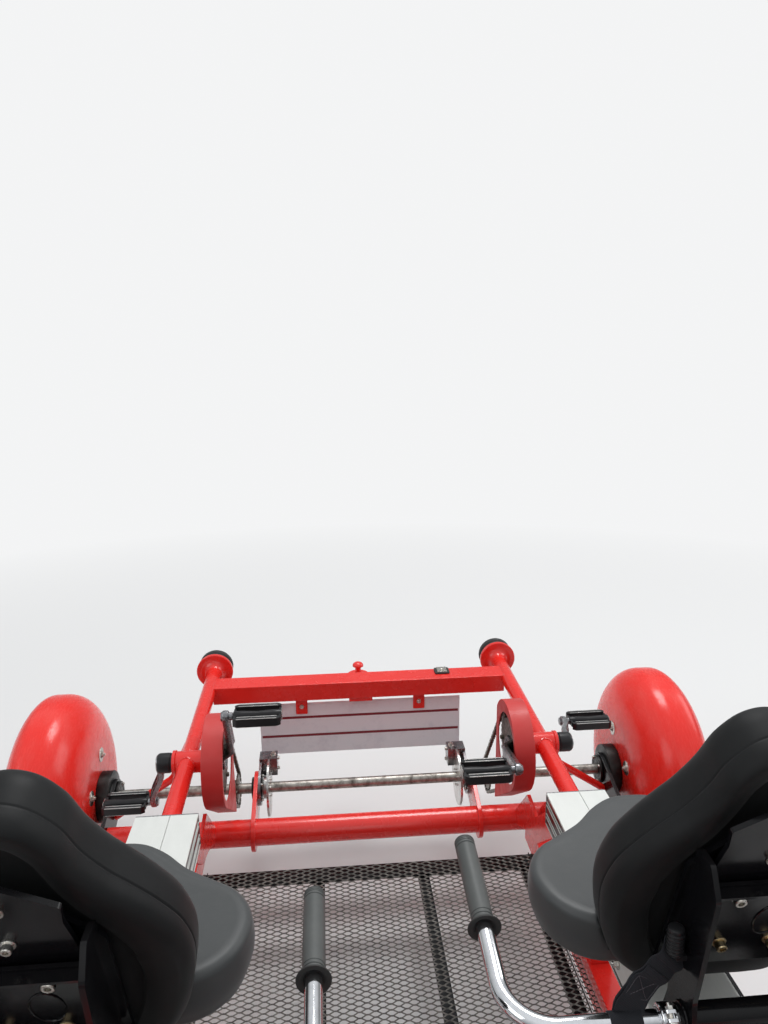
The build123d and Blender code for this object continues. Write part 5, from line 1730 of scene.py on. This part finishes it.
@dataclass(frozen=True)
class SeatBracket:
    """The black steel carriage: saddle on the beam, risers, pan plate, flanks, back plates, sleeve."""

    saddle_half: float = 0.0574
    saddle_t: float = 0.007
    beam_top: float = 0.4504
    skirt: float = 0.408
    y0: float = 0.11
    y1: float = 0.33
    riser_x: float = 0.048
    riser_t: float = 0.008
    riser_y: float = 0.252
    pan_y: float = 0.195
    pan_low: float = 0.524
    pan_half: float = 0.12
    pan_end: float = 0.36
    flank_x: float = 0.07
    flank_t: float = 0.006
    bar_y: float = 0.08
    bar_z: float = 0.554
    sleeve_r: float = 0.0155
    sleeve_half: float = 0.084

    def on_back(self, outline: Array, depth: float, thick: float, holes: Sequence[Array] = ()) -> Shape:
        """A plate parallel to the seat back, with y of the outline up the slope from the back's middle."""
        return pierced(outline, holes, thick).placed(SeatBack().at(0, 0, depth), *SeatBack().axes)

    def even(self, right: Points, radius: float) -> Array:
        """A plate's rounded outline from its right half's corners, bottom to top."""
        return softened([*right, *[(-x, y) for x, y in right[::-1]]], radius, closed=True)

    def saddle(self) -> Shape:
        """The folded saddle over the beam, with rounded folds."""
        a, t = self.saddle_half, self.saddle_t
        top = self.beam_top
        corners = [(a, self.skirt), (a, top), (-a, top), (-a, self.skirt), (-a - t, self.skirt),
            (-a - t, top + t), (a + t, top + t), (a + t, self.skirt)]
        loop = softened(corners, 0.0055, closed=True)
        return prism(loop, self.y1 - self.y0).placed((0, self.y1, 0), X, Z, -Y)

    def risers(self) -> Shape:
        """The two risers, each with a window."""
        low = self.beam_top + self.saddle_t
        outline = rectangle((self.riser_y, self.y1), (low, self.pan_low), 0.003)
        middle = (low + self.pan_low) / 2
        hole = slot_loop((self.riser_y + 0.026, middle), (self.y1 - 0.026, middle), 0.012)
        plate = pierced(outline, [hole], self.riser_t)
        return gather([plate.upright(x - self.riser_t / 2) for x in (-self.riser_x, self.riser_x)])

    def pan_plate(self) -> Shape:
        """The plate under the pan with rounded corners."""
        loop = rectangle((-self.pan_half, self.pan_half), (self.pan_y, self.pan_end), 0.02)
        return prism(loop, 0.0058).placed((0, 0, self.pan_low))

    def flank_outline(self) -> Array:
        """One flank's outline in (y, z): up along the seat back, then down its rear edge to the foot."""
        points = [(0.0807, 0.7755), (0.052, 0.7745), (0.0345, 0.742), (0.062, 0.59), (0.0545, 0.535),
            (0.085, 0.515), (0.112, 0.4578), (0.15, 0.4578), (0.119, 0.556), (0.1253, 0.64)]
        return softened(points, 0.005, closed=True)

    def flanks(self) -> Shape:
        """Both flanks and the plate across their feet."""
        plate = prism(self.flank_outline(), self.flank_t)
        wide, low = self.flank_x + self.flank_t, self.beam_top + self.saddle_t
        foot = box((-wide, wide), (0.112, 0.15), (low, low + 0.006))
        return gather([plate.upright(self.flank_x), plate.upright(-wide), foot])

    def plates(self) -> Shape:
        """The plate on the back pad, the chamfered cover plate and the lower plate with its folded lip."""
        carrier = self.even([(0.082, -0.03), (0.082, 0.165), (0.014, 0.236)], 0.004)
        cover = self.even([(0.0745, 0.0), (0.0745, 0.12), (0.062, 0.175), (0.055, 0.215), (0.057, 0.238),
            (0.01, 0.268)], 0.003)
        lower = self.even([(0.066, 0.01), (0.066, 0.16)], 0.004)
        slot = slot_loop((-0.012, 0.078), (-0.012, 0.108), 0.0038)
        back = SeatBack()
        across, up, rear = back.axes
        lip = prism(rectangle((-0.066, 0.066), (0.0, 0.012), 0.002), 0.004)
        sheets = [self.on_back(carrier, 0.038, 0.006), self.on_back(cover, 0.052, 0.006),
            self.on_back(lower, 0.0625, 0.004, [slot])]
        return gather([*sheets, lip.placed(back.at(0, 0.156, 0.0665), across, rear, -up)])

    def embossing(self) -> Shape:
        """The raised oval ring on the lower plate."""
        back = SeatBack()
        across, up, rear = back.axes
        t = np.linspace(0, 2 * np.pi, 64, endpoint=False)[:, None]
        path = back.at(0.018, 0.09, 0.0665) + across * 0.017 * np.cos(t) + up * 0.026 * np.sin(t)
        return bead(path, 0.0013, rear)

    def sleeve(self) -> Shape:
        """The tube that holds the handlebar, with a lip at each end and a weld bead at each flank."""
        h, r = self.sleeve_half, self.sleeve_r
        half = [(0.0086, 0), (0.0078, 0.0008), (0.0068, 0.0008), (0.006, 0), (0.001, 0), (0, 0.001)]
        right = [*((h - x, r - sunk) for x, sunk in half), (h, 0.0113)]
        body = lathe([*((-x, radius) for x, radius in right[::-1]), *right], 56, closed=True)
        t = np.linspace(0, 2 * np.pi, 60, endpoint=False)
        seam = r + 0.0004
        loops = [np.column_stack([np.full(60, x), seam * np.cos(t), seam * np.sin(t)])
            for x in (-0.0775, -0.0685, 0.0685, 0.0775)]
        return gather([body, *(bead(loop, 0.0022, X) for loop in loops)]).placed((0, self.bar_y, self.bar_z))

    def screws(self) -> dict[str, Shape]:
        """The screws of the back plates, pan plate and clamps, by finish."""
        back = SeatBack()

        def on_plate(x: float, rise: float, depth: float, radius: float) -> Shape:
            """A socket screw with its washer on a back plate, a way up the slope."""
            return screw(Head.SOCKET, radius, back.at(x, rise, depth), back.axes[2], radius * 1.35)

        bright = [on_plate(0.0, rise, 0.058, 0.0056) for rise in (0.238, 0.188)]
        bright += [on_plate(x, 0.141, 0.0665, 0.007) for x in (-0.031, 0.031)]
        for spot in ((x, y, self.pan_low) for x in (-0.095, 0.095) for y in (0.215, 0.325)):
            bright.append(screw(Head.DOME, 0.0055, spot, -Z, 0.0085))
        for way in (-1, 1):
            for y in (0.15, 0.29):
                spot = (way * (self.saddle_half + self.saddle_t), y, 0.43)
                bright.append(screw(Head.HEX, 0.0065, spot, X * way, 0.0095))
        warm = [on_plate(x, 0.052, 0.0665, 0.0064) for x in (-0.03, 0.03)]
        return {"bolt_steel": gather(bright), "brass_plate": gather(warm)}


@dataclass(frozen=True)
class Handlebar:
    """The U-shaped chromed handle tube with its grips, ring clamps and the strap around it."""

    half: float = 0.276
    radius: float = 0.0111
    bend: float = 0.061
    bar_y: float = 0.08
    bar_z: float = 0.554
    tip_y: float = 0.358
    tip_z: float = 0.591
    grip_l: float = 0.146
    strap_x: float = -0.1435
    strap_half: float = 0.0185

    def corners(self) -> list[tuple[float, float, float]]:
        """The route's corners, from the left tip to the right one."""
        right = [(self.half, self.tip_y, self.tip_z), (self.half, self.bar_y, self.bar_z)]
        left = [(-x, y, z) for x, y, z in right]
        return [*left, *right[::-1]]

    def tube(self) -> Shape:
        """The bent tube."""
        return tube(bent(self.corners(), self.bend, 22), self.radius, Z, 48)

    def along(self) -> Array:
        """The right arm's direction towards its tip."""
        return unit(np.array([0.0, self.tip_y - self.bar_y, self.tip_z - self.bar_z]))

    def on_arm(self, profile: Points, closed: bool = True) -> Shape:
        """A turned piece on both arms, with the profile's x measured from the grip's start."""
        along = self.along()
        start = np.array([self.half, self.tip_y, self.tip_z]) - along * self.grip_l
        turned = lathe(profile, 64, closed).placed(start, along, X, np.cross(along, X))
        return gather([turned, turned.mirrored(0)])

    def grip(self) -> Shape:
        """The rubber sleeve: ringed inner end, long smooth barrel and a ringed end cap."""
        end, r = self.grip_l + 0.004, 0.0146
        profile = [(0.0075, self.radius + 0.0002), (0.0075, 0.0132), (0.0095, 0.0144), (0.0125, 0.0144),
            (0.0132, 0.0135), (0.0142, 0.0135), (0.015, 0.0144), (0.0182, 0.0145), (0.019, 0.0137),
            (0.02, 0.0137), (0.0208, 0.0145), (0.05, 0.0148), (0.1, 0.0147), (end - 0.0165, r),
            (end - 0.0158, 0.0136), (end - 0.0148, 0.0136), (end - 0.014, r)]
        for x in (end - 0.0112, end - 0.0082, end - 0.0052):
            profile += [(x, r), (x + 0.0005, r - 0.0007), (x + 0.0012, r - 0.0007), (x + 0.0017, r)]
        profile += [(end - 0.002, r - 0.0003), (end - 0.0004, r - 0.002), (end, r - 0.004)]
        profile += [(end - 0.0012, 0.0095), (end - 0.0016, 0.004), (end - 0.0016, 0)]
        return self.on_arm([(0.0075, 0.0), *profile], closed=False)

    def flange(self) -> Shape:
        """The wide dished flange at the grip's inner end."""
        t = np.linspace(0, np.pi / 2, 8)
        bowl = [(0.0052 - 0.0046 * math.sin(a), 0.0128 + 0.0084 * (1 - math.cos(a))) for a in t]
        rim = [(0.0004, 0.022), (0.0016, 0.0222), (0.003, 0.0216), (0.0052, 0.0186), (0.0066, 0.016)]
        profile = [(0.006, self.radius + 0.0001), *bowl, *rim, (0.0088, 0.0146), (0.0092, 0.012),
            (0.009, 0.0112)]
        return self.on_arm(profile)

    def on_bar(self, shapes: Sequence[Shape], x: float) -> Shape:
        """A clamp's pieces, tilted as its ears are, at a place along the bar."""
        return gather(shapes).turned_x(38).placed((x, self.bar_y, self.bar_z))

    def clamp(self, x: float) -> Shape:
        """A ring clamp around the bar: a broad split band with two ears."""
        low, mid, high = (self.radius + rise for rise in (0.0002, 0.004, 0.0062))
        half = [(0.0065, high), (0.0085, mid), (0.0085, low)]
        band = ring([*((-x, r) for x, r in half[::-1]), *half], 0.0012, 48, 4)
        ear = prism(rectangle((-0.007, 0.007), (0.0, 0.0145), 0.005), 0.0038)
        ears = [ear.placed((0, y, self.radius + 0.0035), X, Z, -Y) for y in (0.0062, -0.0024)]
        return self.on_bar([band, *ears], x)

    def clamp_screw(self, x: float) -> Shape:
        """The screw across a clamp's ears."""
        z, half = self.radius + 0.0115, 0.0064
        head = screw(Head.SOCKET, 0.0042, (0, -half, z), -Y, 0.0056)
        nut = screw(Head.HEX, 0.0046, (0, half, z), Y)
        return self.on_bar([head, nut, rod((0, -half, z), (0, half, z), 0.0024, 14)], x)

    def strap_path(self) -> tuple[Array, Array]:
        """The strap's middle line and widths' direction: once around the tube, then up behind the pad."""
        t = np.radians(np.linspace(250, -72, 44))
        r = self.radius + 0.0016
        loop = np.column_stack([np.zeros_like(t), self.bar_y + r * np.cos(t), self.bar_z + r * np.sin(t)])
        start = loop[0]
        way = [(0.006, 0.086, 0.57), (0.016, 0.0885, 0.585), (0.027, 0.089, 0.6), (0.038, 0.0885, 0.613),
            (0.049, 0.0885, 0.623), (0.058, 0.093, 0.63), (0.062, 0.101, 0.632)]
        rise = np.array([start, *way], float)
        up = sampled(rise, np.linspace(0, len(rise) - 1, 70))
        smooth = np.array([0.1, 0.2, 0.4, 0.2, 0.1])
        padded = np.pad(up, ((2, 2), (0, 0)), mode="edge")
        up = np.stack([np.convolve(padded[:, i], smooth, "valid") for i in range(3)], -1)
        t = np.linspace(0, 1, len(up))
        up[:, 1] -= 0.0022 * t**2 * (1 - t) * 4 * np.sin(26 * t)
        path = np.vstack([loop[::-1], up[2:]])
        path[:, 0] += self.strap_x
        lean = np.zeros((len(path), 3))
        lean[:, 0] = 1
        lean[len(loop) :, 2] = -np.linspace(0, 1.1, len(path) - len(loop))
        return path, unit(lean)

    def ribbon(self, path: Array, side: Array, half: float, thick: float, lift: float = 0.0) -> Shape:
        """A flat band along a path: its section is a thin rounded bar across the side direction."""
        along = unit(np.gradient(path, axis=0))
        flat = unit(side - along * np.sum(side * along, 1, keepdims=True))
        out = np.cross(flat, along)
        corners = rectangle((-half, half), (-thick / 2, thick / 2), thick * 0.4, 3)
        sag = 0.0012 * np.sin(np.linspace(0, 9, len(path)))[:, None] * (corners[:, 0] / half) ** 2
        rise = (corners[:, 1] + lift + sag)[..., None]
        return capped(path[:, None] + flat[:, None] * corners[None, :, :1] + out[:, None] * rise)

    def strap(self) -> Shape:
        """The webbing strap with the doubled end where it is sewn to itself."""
        path, side = self.strap_path()
        double = [values[50:82] for values in (path, side)]
        over = self.ribbon(*double, self.strap_half - 0.0012, 0.0015, 0.0017)
        under = self.ribbon(*double, self.strap_half - 0.0008, 0.0014, -0.0016)
        return gather([self.ribbon(path, side, self.strap_half, 0.0016), over, under])

    def stitches(self) -> Shape:
        """The sewn box and cross on the doubled strap: stitches laid end to end."""
        path, side = self.strap_path()
        along = np.gradient(path, axis=0)
        low, high, steps = 58, 74, 13
        corners = ((low, -1), (low, 1), (high, 1), (high, -1))
        rows = []
        for a, b in ((0, 1), (1, 2), (2, 3), (3, 0), (0, 2), (1, 3)):
            spot, across = np.linspace(corners[a], corners[b], steps).T
            flat = unit(sampled(side, spot))
            out = np.cross(flat, unit(sampled(along, spot)))
            line = sampled(path, spot) + flat * (across * (self.strap_half - 0.004))[:, None] + out * 0.0027
            rows += [rod(p, p + (q - p) * 0.72, 0.00042, 6) for p, q in zip(line, line[1:])]
        return gather(rows)

    def knob(self) -> Shape:
        """The ribbed knob beside the left flank, turned about a nearly upright axis."""
        ribs = []
        for k in range(6):
            x = 0.004 + 0.0046 * k
            ribs += [(x, 0.0085), (x + 0.0006, 0.01), (x + 0.0024, 0.01), (x + 0.003, 0.0085)]
        profile = [(0, 0), (0, 0.0068), (0.002, 0.0078), *ribs, (0.0335, 0.0092), (0.0355, 0.0086),
            (0.037, 0.006), (0.0372, 0)]
        turned = lathe(profile, 40).placed((-0.089, 0.086, 0.635), Z, X, Y)
        stem = box((-0.0885, -0.0755), (0.0815, 0.0905), (0.629, 0.6352))
        return gather([turned, stem])


@dataclass(frozen=True)
class Seat:
    """One seat at its station: pan, back, carriage and handlebar, slid back and pitched as it is used."""

    side: Side
    end: End
    slid_back: float = 0.0
    pitch: float = 0.0

    @property
    def word(self) -> str:
        """The station's name in node names."""
        return f"{self.end.word}_{self.side.word}"

    def set_down(self, shape: Shape) -> Shape:
        """A seat's piece at its station."""
        return shape.placed((SIDE_X * self.side.value, self.end.station_y - self.slid_back, 0))

    def pitched(self, shape: Shape) -> Shape:
        """A handlebar's piece turned down about the bar."""
        return shape.turned_x(-self.pitch, (0, Handlebar.bar_y, Handlebar.bar_z))

    def build(self, dresser: Dresser) -> None:
        """Make the seat's pieces."""
        word, body = self.word, f"seat_{self.word}"
        bracket, bar, spots = SeatBracket(), Handlebar(), (-0.0965, 0.0965)
        # The back wears the darker copy of the pan's foam, so its shade is painted.
        pads = (("pan", SeatPan().form(), "foam"), ("back", SeatBack().form(), "foam_dark"))
        for name, form, finish in pads:
            node = f"seat_{name}_{word}"
            pad = dresser.piece(f"{name}_pad_{word}", self.set_down(form), finish, node, body, smooth=70)
        steel = gather([bracket.pan_plate(), bracket.flanks(), bracket.plates()])
        pale = gather([bracket.saddle(), bracket.risers()])
        turned = gather([bracket.sleeve(), bracket.embossing()])
        rows = [
            ("carriage", steel, "black_paint", "seat_bracket", {"ease": 0.001}),
            ("saddle", pale, "aluminium", "seat_bracket", {"ease": 0.001}),
            ("sleeve", turned, "black_paint", "seat_bracket", {}),
            *((f"seat_screws_{finish}", shape, finish, "", {}) for finish, shape in bracket.screws().items()),
            ("handle_tube", self.pitched(bar.tube()), "chrome", "handlebar", {"smooth": 50}),
            ("handle_grips", self.pitched(bar.grip()), "grip_rubber", "handlebar", {"smooth": 40}),
            ("grip_flanges", self.pitched(bar.flange()), "rubber", "handlebar", {"smooth": 40}),
            ("ring_clamps", gather([bar.clamp(x) for x in spots]), "chrome", "", {"ease": 0.0006}),
            ("clamp_screws", gather([bar.clamp_screw(x) for x in spots]), "bolt_steel", "", {}),
            ("strap", bar.strap(), "webbing", "", {"smooth": 50}),
            ("strap_stitches", bar.stitches(), "thread", "", {}),
            ("strap_knob", bar.knob(), "black_plastic", "", {"ease": 0.0005}),
        ]
        for name, shape, finish, node, edges in rows:
            stands_for = node and f"{node}_{word}"
            dresser.piece(f"{name}_{word}", self.set_down(shape), finish, stands_for, body, **edges)


# The studio


@dataclass(frozen=True)
class Studio:
    """A pale floor with a curved backdrop, four broad soft lamps, and the camera of the photograph."""

    floor_half: float = 9.0
    wall_y: float = 8.0
    wall_h: float = 7.0
    cove: float = 3.0
    fade_from: float = 1.7
    fade_to: float = 4.6
    sky_low: float = 0.3
    sky_high: float = 0.85
    camera_at: tuple[float, float, float] = (-0.079, -0.62, 1.322)
    pitch: float = 13.39
    yaw: float = 4.49
    roll: float = 0.7
    lens: float = 27.42

    def paper(self) -> Material:
        """The floor's pale finish."""
        recipe = Recipe("pale_floor")
        recipe.shade(Base_Color=(0.69, 0.69, 0.685), Roughness=0.9, Specular_IOR_Level=0.1)
        reach = recipe.node("ShaderNodeVectorMath", {0: recipe.place}, operation="LENGTH").outputs["Value"]
        far = recipe.span(reach, self.fade_from, self.fade_to, 0, 1)
        ray = recipe.node("ShaderNodeLightPath").outputs
        seen = recipe.sum("MAXIMUM", ray["Is Camera Ray"], ray["Is Transmission Ray"])
        glow = recipe.node("ShaderNodeEmission", {"Color": (0.9, 0.905, 0.91, 1), "Strength": 1.0}).outputs[0]
        fac = recipe.sum("MULTIPLY", far, seen)
        mixed = recipe.node("ShaderNodeMixShader", {0: fac, 1: recipe.shader.outputs[0], 2: glow}).outputs[0]
        recipe.tree.links.new(mixed, recipe.tree.nodes["Material Output"].inputs[0])
        return recipe.owner

    def backdrop(self) -> None:
        """The floor that sweeps up into a wall: straight, a quarter circle, straight."""
        t = np.linspace(0, np.pi / 2, 24)
        sweep = [(-self.floor_half, 0.0), *zip(self.wall_y + self.cove * np.sin(t),
            self.cove * (1 - np.cos(t)))]
        y, z = np.array([*sweep, (self.wall_y + self.cove, self.wall_h)]).T
        across = np.array([-14.0, 14.0])
        points = np.stack(np.broadcast_arrays(across[None], y[:, None], z[:, None]), -1)
        mesh = mesh_of("studio_floor", grid_shape(points))
        mesh.shade_smooth()
        mesh.materials.append(self.paper())
        floor = in_scene("studio_floor", mesh)

    def lamp(self, name: str, spot: Spot, aim: Spot, size: float, power: float) -> None:
        """A square area lamp that faces a point."""
        light = bpy.data.lights.new(name, "AREA")
        light.size = size
        light.energy = power
        lamp = in_scene(name, light)
        lamp.location = spot
        lamp.rotation_euler = (Vector(aim) - Vector(spot)).to_track_quat("-Z", "Y").to_euler()

    def world(self) -> None:
        """A soft sky, bright overhead and dim around, plain and pale where the camera sees it."""
        recipe = Recipe("soft_sky", "worlds", "Background")
        way = recipe.place.node.outputs["Generated"]
        height = recipe.node("ShaderNodeSeparateXYZ", {0: way}).outputs[2]
        glow = recipe.span(height, -0.05, 0.85, self.sky_low, self.sky_high)
        seen = recipe.node("ShaderNodeLightPath").outputs["Is Camera Ray"]
        recipe.shade(Color=(0.95, 0.975, 1.0), Strength=recipe.sum("MAXIMUM", seen, glow))
        bpy.context.scene.world = recipe.owner

    def camera(self) -> None:
        """The camera, which looks down by the pitch, right by the yaw and is rolled clockwise."""
        lens = bpy.data.cameras.new("photo_camera")
        lens.lens = self.lens
        lens.sensor_width = 36
        lens.clip_end = 60
        camera = in_scene("photo_camera", lens)
        pitch, yaw, roll = (math.radians(a) for a in (self.pitch, self.yaw, self.roll))
        ahead = np.array([math.sin(yaw) * math.cos(pitch), math.cos(yaw) * math.cos(pitch), -math.sin(pitch)])
        level = np.array([math.cos(yaw), -math.sin(yaw), 0.0])
        over = np.cross(level, ahead)
        right = level * math.cos(roll) - over * math.sin(roll)
        up = over * math.cos(roll) + level * math.sin(roll)
        turn = Matrix(np.column_stack([right, up, -ahead]).tolist())
        camera.matrix_world = Matrix.Translation(self.camera_at) @ turn.to_4x4()
        bpy.context.scene.camera = camera

    def build(self) -> None:
        """Set up the floor, the lamps, the sky and the camera."""
        self.backdrop()
        self.world()
        self.camera()
        self.lamp("lamp_over", (0.5, 2.4, 4.2), (0.0, 0.5, 0.3), 1.5, 74)
        self.lamp("lamp_left", (-3.4, -1.2, 2.6), (0.0, 0.4, 0.4), 2.4, 30)
        self.lamp("lamp_right", (3.6, 1.8, 2.8), (0.2, 0.6, 0.3), 2.2, 38)
        self.lamp("lamp_behind", (-0.4, -4.2, 2.4), (0.0, 0.0, 0.4), 2.4, 12)
        bpy.context.scene.view_settings.view_transform = "Standard"


def main() -> None:
    """Build the whole vehicle and its studio."""
    logging.basicConfig(level=logging.INFO, format="%(name)s: %(message)s")
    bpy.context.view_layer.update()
    dresser = Dresser(all_finishes())
    stations = (
        (End.FRONT, Side.LEFT, -60, 0.045, 7.5),
        (End.FRONT, Side.RIGHT, -14, 0.0, 0.0),
        (End.REAR, Side.LEFT, 35, 0.0, 0.0),
        (End.REAR, Side.RIGHT, -100, 0.0, 0.0),
    )
    parts = [FrameTubes(), EndBars(), Buffers(), Floor(), SeatBeam(), WheelCovers(), AxleBearings(),
        Wheelset(), Chain(), Brakes()]
    for end, side, angle, slid_back, pitch in stations:
        parts += [CrankSet(side, end, angle), Seat(side, end, slid_back, pitch)]
    for part in parts:
        part.build(dresser)
    Studio().build()
    LOG.info("%d pieces", dresser.count)


if __name__ == "__main__":
    main()
